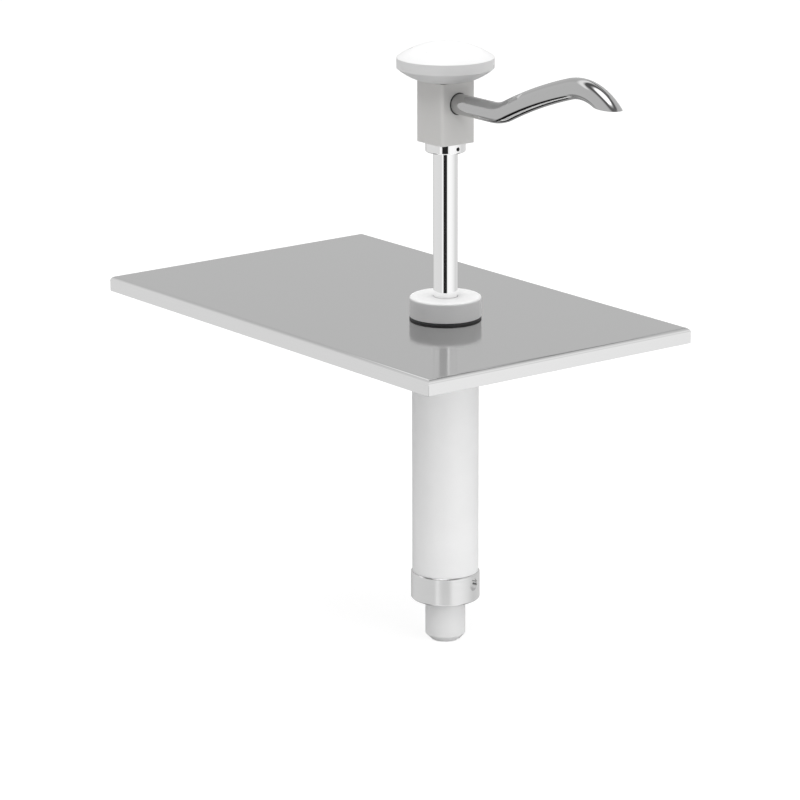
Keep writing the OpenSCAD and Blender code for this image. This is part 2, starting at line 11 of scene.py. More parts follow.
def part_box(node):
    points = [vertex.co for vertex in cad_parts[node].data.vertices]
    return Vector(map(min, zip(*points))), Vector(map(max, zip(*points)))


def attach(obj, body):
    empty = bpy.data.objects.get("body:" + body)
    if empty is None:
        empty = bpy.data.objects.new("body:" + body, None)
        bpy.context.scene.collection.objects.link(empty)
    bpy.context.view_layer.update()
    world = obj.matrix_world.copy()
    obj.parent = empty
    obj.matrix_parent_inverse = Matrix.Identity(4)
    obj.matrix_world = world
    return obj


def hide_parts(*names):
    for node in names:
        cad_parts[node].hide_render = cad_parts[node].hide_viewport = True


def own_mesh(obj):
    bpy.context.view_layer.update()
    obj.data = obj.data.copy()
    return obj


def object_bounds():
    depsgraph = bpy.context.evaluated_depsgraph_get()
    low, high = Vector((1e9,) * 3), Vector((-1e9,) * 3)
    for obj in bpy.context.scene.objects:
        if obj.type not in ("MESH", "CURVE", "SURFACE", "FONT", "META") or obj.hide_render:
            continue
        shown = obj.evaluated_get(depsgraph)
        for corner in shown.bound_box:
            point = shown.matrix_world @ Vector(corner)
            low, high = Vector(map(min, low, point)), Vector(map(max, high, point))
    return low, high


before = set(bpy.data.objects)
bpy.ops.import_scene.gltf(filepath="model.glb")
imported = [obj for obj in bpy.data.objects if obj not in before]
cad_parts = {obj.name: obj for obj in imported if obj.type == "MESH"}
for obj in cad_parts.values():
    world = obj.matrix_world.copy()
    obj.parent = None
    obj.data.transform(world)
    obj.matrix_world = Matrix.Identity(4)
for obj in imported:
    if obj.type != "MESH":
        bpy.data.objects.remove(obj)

bl_info = {
    "name": "Sauce pump dispenser",
    "version": (1, 0, 0),
    "blender": (4, 5, 0),
    "location": "3D View > Sidebar > Sauce pump",
    "description": "Makes the visible pieces, finishes and stage of a sauce pump on its lid",
    "category": "Object",
}

CAD_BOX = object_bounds()
MM = 0.001
GAP = 0.05 * MM  # between a part and the hole that it sits in
SOFT = 0.1 * MM  # radius that takes the sharpness off an edge
WELD = 0.0001 * MM  # points nearer than this are one
HOLE_SIDES = 64


def span(node):
    """Lowest and highest Z of a CAD node."""
    low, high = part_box(node)
    return low.z, high.z


def radius_of(node):
    """Outer radius of a CAD node that is round about the pump's axis."""
    low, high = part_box(node)
    return (high.y - low.y) / 2


AXIS_X = (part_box("stem_tube")[0].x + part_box("stem_tube")[1].x) / 2


# Sizes and colours that a user would change

def length(name, size, description):
    """A size, given here in millimetres."""
    return FloatProperty(name=name, description=description, default=size * MM,
                         min=0.0, soft_max=0.5, unit="LENGTH", precision=5)


def angle(name, degrees, description):
    """An angle, given here in degrees."""
    return FloatProperty(name=name, description=description, default=math.radians(degrees),
                         subtype="ANGLE")


def colour(name, default, description):
    return FloatVectorProperty(name=name, description=description, default=default,
                               min=0.0, max=1.0, size=3, subtype="COLOR")


def share(name, default, description):
    return FloatProperty(name=name, description=description, default=default,
                         min=0.0, max=1.0, subtype="FACTOR")


def power(name, watts, description):
    """The power of a lamp, in watts."""
    return FloatProperty(name=name, description=description, default=watts, min=0.0,
                         unit="POWER")


class LidSettings(bpy.types.PropertyGroup):
    """Sizes and finish of the stainless lid"""
    sheet: length("Sheet", 1.0, "Thickness of the lid's sheet")
    bend: length("Bend", 2.6, "Outer radius of the bend into each flange")
    seam_depth: length("Seam depth", 0.9, "Depth of the open seam at each corner")
    seam_width: length("Seam width", 0.4, "Width of the open seam at each corner")
    hole: length("Hole radius", 13.7, "Radius of the hole for the pump's neck")
    steel: colour("Steel", (0.56, 0.56, 0.56), "Colour of the plate's ground steel")
    # Painted sheen: the flanges' lighter tint stands in for the light that the bends catch, not
    # for a different steel
    flange: colour("Flange steel", (0.87, 0.87, 0.87), "Colour of the steel drawn round the bends")
    gloss: share("Roughness", 0.10, "Roughness of the satin steel")
    grain: length("Grain depth", 0.0008, "Depth of the brushed grain")


class ClampSettings(bpy.types.PropertyGroup):
    """Sizes and finishes of the gasket, collar nut and guide bush"""
    hole: length("Gasket bore", 13.7, "Bore radius of the gasket")
    collar_round: length("Collar rounding", 1.1, "Radius of the collar nut's top edge")
    collar_top: length("Collar top", 2.0, "Thickness of the collar nut's top")
    collar_hole: length("Collar hole", 6.15, "Radius of the collar nut's hole for the stem")
    flange: length("Bush flange", 1.5, "Thickness of the guide bush's flange")
    bush: length("Bush radius", 8.45, "Outer radius of the guide bush's body")
    bush_bore: length("Bush bore", 6.05, "Bore radius of the guide bush")
    plastic: colour("Collar plastic", (0.98, 0.98, 0.98), "Colour of the collar nut")
    bush_plastic: colour("Bush plastic", (0.80, 0.80, 0.79), "Colour of the guide bush")
    rubber: colour("Rubber", (0.012, 0.012, 0.013), "Colour of the gasket and seals")


class CylinderSettings(bpy.types.PropertyGroup):
    """Sizes and finishes of the cylinder, ring nut and foot valve body"""
    bore: length("Bore radius", 13.5, "Radius of the cylinder's bore")
    tail: length("Tail radius", 15.0, "Radius of the cylinder's threaded tail")
    neck: length("Neck radius", 13.5, "Radius of the neck through the lid")
    web_low: length("Web face", 3.1, "Height of the face that the piston stops against")
    web_high: length("Web ledge", 6.6, "Height of the ledge under the wiper")
    web_hole: length("Web hole", 7.25, "Radius of the hole through the web")
    neck_bore: length("Neck bore", 8.5, "Bore radius of the neck")
    vent: length("Vent radius", 1.0, "Radius of the vent above the piston")
    vent_down: length("Vent drop", 1.6, "Drop from the web's face to the vent")
    vent_turn: angle("Vent turn", 135, "Turn of the vent from the spout")
    nut_bevel: length("Nut bevel", 0.5, "Bevel on the ring nut's edges")
    nut_lip: length("Nut lip", 3.0, "Thickness of the lip that holds the foot valve")
    spanner: length("Spanner hole", 3.0, "Radius of the spanner holes")
    spanner_depth: length("Spanner depth", 1.5, "Depth of the spanner holes")
    spanner_up: length("Spanner height", 9.0, "Height of the spanner holes over the nut's foot")
    spanner_turn: angle("Spanner turn", 18, "Turn of the first spanner hole from the spout")
    spigot: length("Spigot radius", 10.0, "Radius of the suction spigot")
    chamfer: length("Spigot chamfer", 3.0, "Chamfer on the spigot's end")
    inlet: length("Inlet radius", 6.0, "Radius of the suction inlet")
    slot_width: length("Slot width", 3.0, "Width of the slot across the spigot's end")
    slot_depth: length("Slot depth", 3.3, "Depth of the slot across the spigot's end")
    slot_turn: angle("Slot turn", 22, "Turn of the slot from the spout")
    chamber: length("Chamber radius", 7.25, "Radius of the chamber round the foot ball")
    throat: length("Throat radius", 4.0, "Radius of the throat under the foot ball")
    throat_depth: length("Throat depth", 3.8, "Depth of the throat under the foot ball")
    plastic: colour("Plastic", (0.92, 0.92, 0.92), "Colour of the cylinder and foot valve body")
    nut_metal: colour("Nut metal", (0.80, 0.80, 0.80), "Colour of the satin ring nut")


class StemSettings(bpy.types.PropertyGroup):
    """Sizes and finishes of the stem, its ring and the grub screw"""
    bore: length("Stem bore", 4.0, "Bore radius of the stem")
    end_bevel: length("End bevel", 0.5, "Bevel on the stem's ends")
    ring_bevel: length("Ring bevel", 0.4, "Bevel on the ring's lower edge")
    screw: length("Screw radius", 0.95, "Radius of the grub screw")
    socket: length("Socket radius", 0.55, "Radius over the corners of the hexagon socket")
    socket_depth: length("Socket depth", 1.6, "Depth of the hexagon socket")
    steel: colour("Steel", (0.93, 0.93, 0.93), "Colour of the polished stem")
    dark_steel: colour("Dark steel", (0.06, 0.06, 0.062), "Colour of the grub screw")


class HeadSettings(bpy.types.PropertyGroup):
    """Sizes and finishes of the head block and the knob"""
    edge: length("Edge radius", 1.8, "Radius of the block's upright edges")
    channel: length("Channel radius", 4.0, "Radius of the channels through the block")
    knob_foot: length("Knob foot", 12.55, "Radius of the knob's foot")
    knob_bowl: length("Knob bowl", 6.0, "Height from the block to the knob's rim")
    bowl_curve: length("Bowl curve", 29.0, "Radius of the curve between foot and rim")
    knob_rim: length("Knob rim", 5.1, "Height of the knob's rim")
    knob_edge: length("Rim edges", 0.25, "Radius of the rim's two edges")
    stud: length("Stud hole", 3.05, "Radius of the hole for the knob's stud")
    stud_up: length("Stud depth", 8.05, "Depth of the stud's hole in the knob")
    stud_down: length("Stud seat", 4.55, "Depth of the stud's hole in the block")
    block_plastic: colour("Block plastic", (0.85, 0.842, 0.825), "Colour of the head block")
    knob_plastic: colour("Knob plastic", (0.89, 0.89, 0.89), "Colour of the knob")


class SpoutSettings(bpy.types.PropertyGroup):
    """Sizes and finish of the spout's tube and its sealing ring"""
    tube: length("Tube radius", 5.05, "Outer radius of the tube")
    bore: length("Bore radius", 4.05, "Bore radius of the tube")
    height: length("Height", 115.7, "Height of the level stretch's axis")
    root: length("Root", 3.0, "Distance from the pump's axis to the tube's root")
    level: length("Level stretch", 37.0, "Distance from the pump's axis to the first bend")
    bend: length("First bend", 26.0, "Centre-line radius of the first bend")
    rise: length("Rise", 290.0, "Centre-line radius of the long rise")
    crest: length("Crest", 31.5, "Centre-line radius of the crest")
    bend_slope: angle("Slope after the bend", 25.5, "Slope where the rise starts")
    rise_slope: angle("Slope before the crest", 15.9, "Slope where the rise ends")
    mouth_drop: length("Mouth drop", 6.5, "Drop from the centre line's top to the level cut")
    ring: length("Sealing ring", 0.2, "Section radius of the sealing ring that shows")
    seal: colour("Seal", (0.10, 0.10, 0.10), "Colour of the sealing ring")
    steel: colour("Steel", (0.56, 0.56, 0.56), "Colour of the polished spout")


class SpringSettings(bpy.types.PropertyGroup):
    """Sizes and finish of the return spring and the hidden steel parts"""
    wire: length("Wire radius", 1.0, "Radius of the spring's wire")
    turns: IntProperty(name="Turns", default=12, min=4, max=20, description="Turns of the spring")
    end_pitch: length("End pitch", 2.5, "Pitch of the closed end turns")
    steel: colour("Steel", (0.70, 0.70, 0.705), "Colour of the spring, pins and balls")


class StageSettings(bpy.types.PropertyGroup):
    """Floor, lamps, surroundings and camera"""
    floor: colour("Floor", (0.68, 0.68, 0.68), "Colour of the floor")
    sky: share("Surroundings", 0.30, "Level of the light from all round")
    lid_glow: share("Lid's glow", 0.04, "Level that the lid mirrors onto the plastic above it")
    overhead: power("Overhead lamp", 51.0, "Power of the wide lamp over the object")
    side: power("Side lamp", 3.0, "Power of the lamp at the right of the picture")
    under: power("Low lamps", 0.075, "Power of the stronger of the two lamps under the lid")
    lens: FloatProperty(name="Lens", default=179.90, min=1.0, unit="CAMERA",
                        description="Focal length in millimetres on a 36 mm wide sensor")
    azimuth: angle("Azimuth", 52.412, "Direction that the camera looks in, from +Y towards -X")
    elevation: angle("Elevation", 15.212, "Height of the camera above the horizon")
    roll: angle("Roll", -0.156, "Turn of the camera about its own line of sight")
    position: FloatVectorProperty(name="Position", size=3, subtype="XYZ", unit="LENGTH",
                                  default=(1.5373, -1.1790, 0.4834),
                                  description="Place of the camera")


# Node trees

class TreeMaker:
    """Adds nodes to one tree and joins them."""

    def __init__(self, tree):
        self.tree = tree

    def node(self, kind, inputs=None, **settings):
        made = self.tree.nodes.new(kind)
        for key, value in settings.items():
            setattr(made, key, value)
        for key, value in (inputs or {}).items():
            self.feed(made.inputs[key], value)
        return made

    def out(self, kind, inputs=None, **settings):
        """The first output of a new node."""
        return self.node(kind, inputs, **settings).outputs[0]

    def feed(self, socket, value):
        if isinstance(value, bpy.types.NodeSocket):
            self.tree.links.new(value, socket)
        else:
            socket.default_value = value

    def math(self, operation, *values):
        return self.out("ShaderNodeMath", dict(enumerate(values)), operation=operation)


def round_skin(maker, path, radius, sides, caps):
    """A round section carried along a curve."""
    section = maker.out("GeometryNodeCurvePrimitiveCircle",
                        {"Resolution": sides, "Radius": radius})
    return maker.out("GeometryNodeCurveToMesh",
                     {"Curve": path, "Profile Curve": section, "Fill Caps": caps})


def turning(maker, given):
    """An outline turned about the pump's axis. Its points are (radius - hub, -height, 0)."""
    outline = maker.out("GeometryNodeMeshToCurve", {"Mesh": given["Geometry"]})
    circle = maker.out("GeometryNodeCurvePrimitiveCircle",
                       {"Resolution": given["Sides"], "Radius": given["Hub"]})
    upright = maker.out("GeometryNodeSetCurveNormal", {"Curve": circle}, mode="Z_UP")
    skin = maker.out("GeometryNodeCurveToMesh", {"Curve": upright, "Profile Curve": outline})
    poles = maker.out("GeometryNodeMergeByDistance", {"Geometry": skin, "Distance": WELD})
    offset = maker.out("ShaderNodeCombineXYZ", {"X": given["Axis X"]})
    return maker.out("GeometryNodeTransform", {"Geometry": poles, "Translation": offset})


def sweeping(maker, given):
    """A round section that follows a path."""
    path = maker.out("GeometryNodeMeshToCurve", {"Mesh": given["Geometry"]})
    return round_skin(maker, path, given["Radius"], given["Sides"], False)


def coiling(maker, given):
    """A wire wound into a spring with closed end turns."""
    calc = maker.math
    line = maker.out("GeometryNodeMeshLine", {"Count": given["Steps"]})
    path = maker.out("GeometryNodeMeshToCurve", {"Mesh": line})
    gone = calc("MULTIPLY", maker.out("GeometryNodeSplineParameter"), given["Turns"])
    last = calc("SUBTRACT", given["Turns"], 1.0)
    first_turn = calc("MINIMUM", gone, 1.0)
    last_turn = calc("MAXIMUM", calc("SUBTRACT", gone, last), 0.0)
    open_turns = calc("SUBTRACT", calc("SUBTRACT", gone, first_turn), last_turn)
    ends = calc("MULTIPLY", given["End Pitch"], calc("ADD", first_turn, last_turn))
    room = calc("SUBTRACT", given["Height"], calc("MULTIPLY", given["End Pitch"], 2.0))
    pitch = calc("DIVIDE", room, calc("SUBTRACT", last, 1.0))
    climb = calc("ADD", ends, calc("MULTIPLY", open_turns, pitch))
    swing = calc("MULTIPLY", gone, math.tau)
    across = calc("MULTIPLY", calc("COSINE", swing), given["Coil Radius"])
    place = maker.out("ShaderNodeCombineXYZ", {
        "X": calc("ADD", across, given["Axis X"]),
        "Y": calc("MULTIPLY", calc("SINE", swing), given["Coil Radius"]),
        "Z": calc("ADD", climb, given["Foot"])})
    wound = maker.out("GeometryNodeSetPosition", {"Geometry": path, "Position": place})
    return round_skin(maker, wound, given["Wire Radius"], given["Wire Sides"], True)


def drilling(maker, given):
    """Holes of one size, spaced evenly round a piece, whose axes meet the pump's axis."""
    drill = maker.out("GeometryNodeMeshCylinder", {
        "Vertices": HOLE_SIDES, "Radius": given["Radius"], "Depth": given["Depth"]})
    half = maker.math("MULTIPLY", given["Depth"], 0.5)
    reach = maker.out("ShaderNodeCombineXYZ", {"X": maker.math("ADD", given["Start"], half)})
    laid = maker.out("GeometryNodeTransform", {
        "Geometry": drill, "Rotation": (0.0, math.pi / 2, 0.0), "Translation": reach})
    points = maker.out("GeometryNodePoints", {"Count": given["Count"]})
    step = maker.math("DIVIDE", math.tau, given["Count"])
    swing = maker.math("MULTIPLY", maker.out("GeometryNodeInputIndex"), step)
    about = maker.out("ShaderNodeCombineXYZ",
                      {"Z": maker.math("ADD", swing, given["First Turn"])})
    spread = maker.out("GeometryNodeInstanceOnPoints",
                       {"Points": points, "Instance": laid, "Rotation": about})
    drills = maker.out("GeometryNodeRealizeInstances", {"Geometry": spread})
    place = maker.out("ShaderNodeCombineXYZ", {"X": given["Axis X"], "Z": given["Height"]})
    ready = maker.out("GeometryNodeTransform", {"Geometry": drills, "Translation": place})
    return maker.out("GeometryNodeMeshBoolean",
                     {"Mesh 1": given["Geometry"], "Mesh 2": ready},
                     operation="DIFFERENCE", solver="EXACT")


# Each tree's maker, and the kinds of its named inputs
TREES = {
    "Turned piece": (turning, {"Hub": "Float", "Sides": "Int", "Axis X": "Float"}),
    "Swept round section": (sweeping, {"Radius": "Float", "Sides": "Int"}),
    "Coil spring": (coiling, {
        "Turns": "Float", "Steps": "Int", "Coil Radius": "Float", "Wire Radius": "Float",
        "Wire Sides": "Int", "Foot": "Float", "Height": "Float", "End Pitch": "Float",
        "Axis X": "Float"}),
    "Radial holes": (drilling, {
        "Count": "Int", "First Turn": "Float", "Radius": "Float", "Start": "Float",
        "Depth": "Float", "Height": "Float", "Axis X": "Float"}),
}


def geometry_tree(name):
    """One of the trees. Each ends in Realize Instances and Set Material."""
    shape, sizes = TREES[name]
    tree = bpy.data.node_groups.new(name, "GeometryNodeTree")
    for label, kind in {"Geometry": "Geometry", **sizes, "Material": "Material"}.items():
        tree.interface.new_socket(label, in_out="INPUT", socket_type="NodeSocket" + kind)
    tree.interface.new_socket("Geometry", in_out="OUTPUT", socket_type="NodeSocketGeometry")
    maker = TreeMaker(tree)
    given, end = maker.node("NodeGroupInput").outputs, maker.node("NodeGroupOutput")
    real = maker.out("GeometryNodeRealizeInstances", {"Geometry": shape(maker, given)})
    maker.feed(end.inputs[0], maker.out("GeometryNodeSetMaterial",
                                        {"Geometry": real, "Material": given["Material"]}))
    return tree


# Making meshes

def new_object(name, mesh):
    """An object in the scene with this mesh."""
    made = bpy.data.objects.new(name, mesh)
    bpy.context.scene.collection.objects.link(made)
    return made


def bake(piece):
    """Turns a piece and its modifiers into a plain mesh."""
    graph = bpy.context.evaluated_depsgraph_get()
    plain = bpy.data.meshes.new_from_object(piece.evaluated_get(graph), depsgraph=graph)
    piece.modifiers.clear()
    old, piece.data = piece.data, plain
    plain.name = piece.name
    bpy.data.meshes.remove(old)
    return piece


def face_outwards(piece):
    """Points every face of a closed piece outwards."""
    work = bmesh.new()
    work.from_mesh(piece.data)
    bmesh.ops.recalc_face_normals(work, faces=work.faces)
    work.to_mesh(piece.data)
    work.free()
    return piece


def shape_by_tree(piece, tree_name, look, **sizes):
    """Runs one of the trees on a piece and bakes the result."""
    tree = bpy.data.node_groups.get(tree_name) or geometry_tree(tree_name)
    modifier = piece.modifiers.new(tree_name, "NODES")
    modifier.node_group = tree
    sizes.update(axis_x=AXIS_X, material=finish(look))
    for item in tree.interface.items_tree:
        key = item.name.lower().replace(" ", "_")
        if item.in_out == "INPUT" and key in sizes:
            modifier[item.identifier] = sizes[key]
    return face_outwards(bake(piece))


def ease(corners, steps):
    """An outline of (radius, height, easing) corners with each eased corner made a short arc."""
    points = []
    for i, (x, y, easing) in enumerate(corners):
        corner = Vector((x, y))
        if not easing:
            points.append(corner)
            continue
        before = (Vector(corners[i - 1][:2]) - corner).normalized()
        after = (Vector(corners[(i + 1) % len(corners)][:2]) - corner).normalized()
        half = before.angle(after) / 2
        middle = corner + (before + after).normalized() * (easing / math.sin(half))
        first = corner + before * (easing / math.tan(half)) - middle
        last = corner + after * (easing / math.tan(half)) - middle
        swing = first.angle_signed(last)
        for k in range(steps + 1):
            points.append(middle + Matrix.Rotation(-swing * k / steps, 2) @ first)
    return points


def turn(name, look, corners, facets=128, steps=5):
    """A round piece turned about the pump's axis from the corners of its outline."""
    outline, hub = ease(corners, steps), MM
    mesh = bpy.data.meshes.new(name)
    mesh.from_pydata([(x - hub, -z, 0.0) for x, z in outline],
                     [(i, (i + 1) % len(outline)) for i in range(len(outline))], [])
    return shape_by_tree(new_object(name, mesh), "Turned piece", look, hub=hub, sides=facets)


def sweep(name, look, path, radius, facets, loop=False):
    """A round section along a path of points."""
    mesh = bpy.data.meshes.new(name)
    links = [(i, i + 1) for i in range(len(path) - 1)] + [(len(path) - 1, 0)] * loop
    mesh.from_pydata(path, links, [])
    return shape_by_tree(new_object(name, mesh), "Swept round section", look, radius=radius,
                         sides=facets)


def from_bmesh(name, work):
    """An object made from a bmesh, which is then freed."""
    mesh = bpy.data.meshes.new(name)
    work.to_mesh(mesh)
    work.free()
    return new_object(name, mesh)


def rod(start, end, radius, facets=HOLE_SIDES):
    """A plain round tool between two points, for cutting."""
    start, end = Vector(start), Vector(end)
    line = end - start
    lie = line.to_track_quat("Z", "Y").to_matrix().to_4x4()
    work = bmesh.new()
    bmesh.ops.create_cone(work, cap_ends=True, segments=facets, radius1=radius, radius2=radius,
                          depth=line.length, matrix=Matrix.Translation((start + end) / 2) @ lie)
    return from_bmesh("tool", work)


def upright_rod(low, high, radius, facets=HOLE_SIDES):
    """A round tool on the pump's axis."""
    return rod((AXIS_X, 0, low), (AXIS_X, 0, high), radius, facets)


def slab(low, high, turned=0.0):
    """A plain box tool between two corners, turned about its own upright axis."""
    low, high = Vector(low), Vector(high)
    work = bmesh.new()
    place = (Matrix.Translation((low + high) / 2) @ Matrix.Rotation(turned, 4, "Z")
             @ Matrix.Diagonal((*(high - low), 1.0)))
    bmesh.ops.create_cube(work, size=1.0, matrix=place)
    return from_bmesh("tool", work)


def carve(piece, *tools):
    """Cuts each tool out of a piece."""
    for tool in tools:
        cutter = piece.modifiers.new("Cut", "BOOLEAN")
        cutter.operation, cutter.solver, cutter.object = "DIFFERENCE", "EXACT", tool
        bake(piece)
        bpy.data.objects.remove(tool)
    return face_outwards(piece)


def mount(piece, look, body, node, crease=35.0):
    """Finishes a piece, which rides on its body and stands for its CAD node.

    Its shading is smooth, and stays crisp at edges sharper than the crease angle.
    """
    mesh = piece.data
    mesh.materials.clear()
    mesh.materials.append(finish(look))
    for face in mesh.polygons:
        face.material_index = 0
        face.use_smooth = True
    mesh.set_sharp_from_angle(angle=math.radians(crease))
    weigh = piece.modifiers.new("Weigh", "WEIGHTED_NORMAL")
    weigh.mode, weigh.weight, weigh.keep_sharp = "FACE_AREA", 50, True
    bake(piece)
    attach(piece, body)
    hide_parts(node)
    return piece


def dress(node, slot):
    """A CAD node that stays gets its finish."""
    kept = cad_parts[node]
    kept.data.materials.clear()
    kept.data.materials.append(finish(slot))


# Finishes

EVEN = (1.0, 1.0, 1.0)  # the stretch of a grain that is not drawn out


def surface(name, tint, metallic, roughness, ior=1.5):
    """A material with its principled shader and its object coordinates."""
    material = bpy.data.materials.new(name)
    material.use_nodes = True
    maker = TreeMaker(material.node_tree)
    shader = material.node_tree.nodes["Principled BSDF"].inputs
    for key, value in (("Base Color", (*tint, 1.0)), ("Metallic", metallic),
                       ("Roughness", roughness), ("IOR", ior)):
        shader[key].default_value = value
    return material, maker, shader, maker.node("ShaderNodeTexCoord").outputs["Object"]


def grain_of(maker, where, scale, detail, stretch=EVEN):
    """Noise drawn out along the axes whose stretch is small."""
    laid = maker.out("ShaderNodeMapping", {"Vector": where, "Scale": stretch})
    return maker.out("ShaderNodeTexNoise", {"Vector": laid, "Scale": scale, "Detail": detail})


def vary(maker, source, low, high):
    """Noise, which keeps near its middle, spread between two values."""
    return maker.out("ShaderNodeMapRange", {"Value": source, "From Min": 0.3, "From Max": 0.7,
                                            "To Min": low, "To Max": high})


def tone(maker, source, tint, spread):
    """A colour that drifts a little darker with the noise."""
    level = vary(maker, source, 1.0 - spread, 1.0)
    grey = maker.out("ShaderNodeCombineColor", {"Red": level, "Green": level, "Blue": level})
    mixed = maker.node("ShaderNodeMix", data_type="RGBA", blend_type="MULTIPLY")
    for place, value in ((0, 1.0), (6, (*tint, 1.0)), (7, grey)):
        maker.feed(mixed.inputs[place], value)
    return mixed.outputs[2]


def bumpy(maker, shader, height, depth):
    """Gives a surface the relief of a height of this depth."""
    maker.feed(shader["Normal"], maker.out(
        "ShaderNodeBump", {"Height": height, "Strength": 1.0, "Distance": depth}))


def satin_metal(name, tint, roughness, scale, depth, stretch=EVEN, spread=0.03):
    """Metal with a fine drawn grain, as rolling, brushing or turning leaves it."""
    material, maker, shader, where = surface(name, tint, 1.0, roughness)
    fine = grain_of(maker, where, scale, 4.0, stretch)
    cloudy = grain_of(maker, where, 45.0, 2.0)
    maker.feed(shader["Base Color"], tone(maker, fine, tint, spread))
    maker.feed(shader["Roughness"], vary(maker, cloudy, roughness * 0.9, roughness * 1.1))
    bumpy(maker, shader, fine, depth)
    return material


def lid_steel(name, lid):
    """Satin sheet with a painted sheen: the flanges' base colour is painted lighter than the
    plate's, standing in for the light that the bends catch.
    """
    material = satin_metal(name, lid.steel, lid.gloss, 2600.0, lid.grain, (0.02, 1.0, 1.0), 0.02)
    maker = TreeMaker(material.node_tree)
    base = material.node_tree.nodes["Principled BSDF"].inputs["Base Color"]
    toned = base.links[0].from_socket
    top = span("lid_plate")[1]
    where = maker.node("ShaderNodeTexCoord").outputs["Object"]
    height = maker.node("ShaderNodeSeparateXYZ", {"Vector": where}).outputs["Z"]
    # Painted sheen: the base colour grows lighter from the plate's top down the bends into the
    # flanges' tint
    painted_flange_sheen = maker.out("ShaderNodeMapRange", {
        "Value": height, "From Min": top - 0.02 * MM, "From Max": top - 0.5 * lid.bend,
        "To Min": 1.0, "To Max": lid.flange[0] / lid.steel[0]})
    maker.feed(base, maker.out("ShaderNodeVectorMath", {0: toned, "Scale": painted_flange_sheen},
                               operation="SCALE"))
    return material


def polished_metal(name, tint, roughness=0.035):
    """Polished metal with faint buffing marks and slight haze."""
    material, maker, shader, where = surface(name, tint, 1.0, roughness)
    haze = grain_of(maker, where, 160.0, 3.0)
    maker.feed(shader["Roughness"], vary(maker, haze, roughness * 0.6, roughness * 1.5))
    return material


def moulded_plastic(name, tint, roughness, texture=2600.0, depth=0.004 * MM):
    """Moulded plastic with the fine texture of its tool and a slight drift in tone."""
    material, maker, shader, where = surface(name, tint, 0.0, roughness, ior=1.47)
    fine = grain_of(maker, where, texture, 2.0)
    cloudy = grain_of(maker, where, 60.0, 3.0)
    maker.feed(shader["Base Color"], tone(maker, cloudy, tint, 0.025))
    maker.feed(shader["Roughness"], vary(maker, cloudy, roughness * 0.9, roughness * 1.1))
    bumpy(maker, shader, fine, depth)
    return material


def rubber(name, tint):
    """Matt rubber with a dry, faintly uneven skin."""
    material, maker, shader, where = surface(name, tint, 0.0, 0.55)
    fine = grain_of(maker, where, 1800.0, 3.0)
    maker.feed(shader["Roughness"], vary(maker, fine, 0.45, 0.65))
    bumpy(maker, shader, fine, 0.01 * MM)
    return material


# Each look's maker, the settings and field of its colour, and what else the maker is given
LOOKS = {
    "polished_steel": (polished_metal, "stem", "steel"),
    "polished_spout_steel": (polished_metal, "spout", "steel"),
    "spring_steel": (satin_metal, "spring", "steel", 0.22, 900.0, 0.001 * MM),
    "dark_screw_steel": (satin_metal, "stem", "dark_steel", 0.4, 1500.0, 0.004 * MM),
    "satin_nut": (satin_metal, "cylinder", "nut_metal", 0.20, 5200.0, 0.002 * MM,
                  (0.02, 0.02, 1.0), 0.06),
    "white_plastic": (moulded_plastic, "clamp", "plastic", 0.38),
    "knob_plastic": (moulded_plastic, "head", "knob_plastic", 0.3),
    "bush_plastic": (moulded_plastic, "clamp", "bush_plastic", 0.35),
    "cylinder_plastic": (moulded_plastic, "cylinder", "plastic", 0.42),
    "grey_head_plastic": (moulded_plastic, "head", "block_plastic", 0.48, 1900.0, 0.008 * MM),
    "black_rubber": (rubber, "clamp", "rubber"),
    "spout_seal_rubber": (rubber, "spout", "seal"),
}
FINISHES = {}


def finish(look):
    """The material of a look, made the first time it is asked for."""
    if look not in FINISHES:
        scene = bpy.context.scene
        if look == "brushed_lid_steel":
            FINISHES[look] = lid_steel(look, scene.pump_lid)
        else:
            make, group, field, *rest = LOOKS[look]
            FINISHES[look] = make(look, getattr(getattr(scene, "pump_" + group), field), *rest)
    return FINISHES[look]


# Pieces

def lid_sheet(sizes):
    """The folded sheet: four flanges bent down, open at the corners, with the pump's hole."""
    low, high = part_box("lid_plate")
    wide, deep, top = high.x, high.y, high.z
    sheet, bend = sizes.sheet, sizes.bend
    inner, steps, easing = bend - sheet, 8, 0.12 * MM
    quarter = [math.pi / 2 * k / steps for k in range(steps + 1)]
    rows = [(bend + 2 * easing, top)]
    rows += [(bend - bend * math.sin(a), top - bend + bend * math.cos(a)) for a in quarter]
    rows += [(0.0, easing), (easing * 0.3, easing * 0.3), (easing, low.z),
             (sheet - easing, low.z), (sheet - easing * 0.3, easing * 0.3), (sheet, easing)]
    rows += [(sheet + inner - inner * math.cos(a), top - bend + inner * math.sin(a))
             for a in quarter]
    rows.append((bend + 2 * easing, top - sheet))
    work = bmesh.new()
    rings = [[work.verts.new((sx * (wide - inset), sy * (deep - inset), z))
              for sx, sy in ((-1, -1), (1, -1), (1, 1), (-1, 1))] for inset, z in rows]
    for upper, lower in zip(rings, rings[1:]):
        for i in range(4):
            j = (i + 1) % 4
            work.faces.new((upper[i], upper[j], lower[j], lower[i]))
    work.faces.new(rings[0])
    work.faces.new(rings[-1])
    bmesh.ops.recalc_face_normals(work, faces=work.faces)
    piece = from_bmesh("lid_sheet", work)
    half = Vector((sizes.seam_depth, sizes.seam_width / 2, 0))
    seams = []
    for sx in (-1, 1):
        for sy in (-1, 1):
            corner = Vector((sx * wide, sy * deep, 0))
            seams.append(slab(corner - half - Vector((0, 0, MM)),
                              corner + half + Vector((0, 0, top - bend)),
                              math.radians(45) * sx * sy))
    return carve(piece, *seams, upright_rod(0, 2 * top, sizes.hole, 128))


class PUMP_OT_lid(bpy.types.Operator):
    """Make the stainless lid"""
    bl_idname = "pump.lid"
    bl_label = "Lid"

    def execute(self, context):
        piece = lid_sheet(context.scene.pump_lid)
        mount(piece, "brushed_lid_steel", "base", "lid_plate", 25.0)
        piece.visible_glossy = False
        return {"FINISHED"}


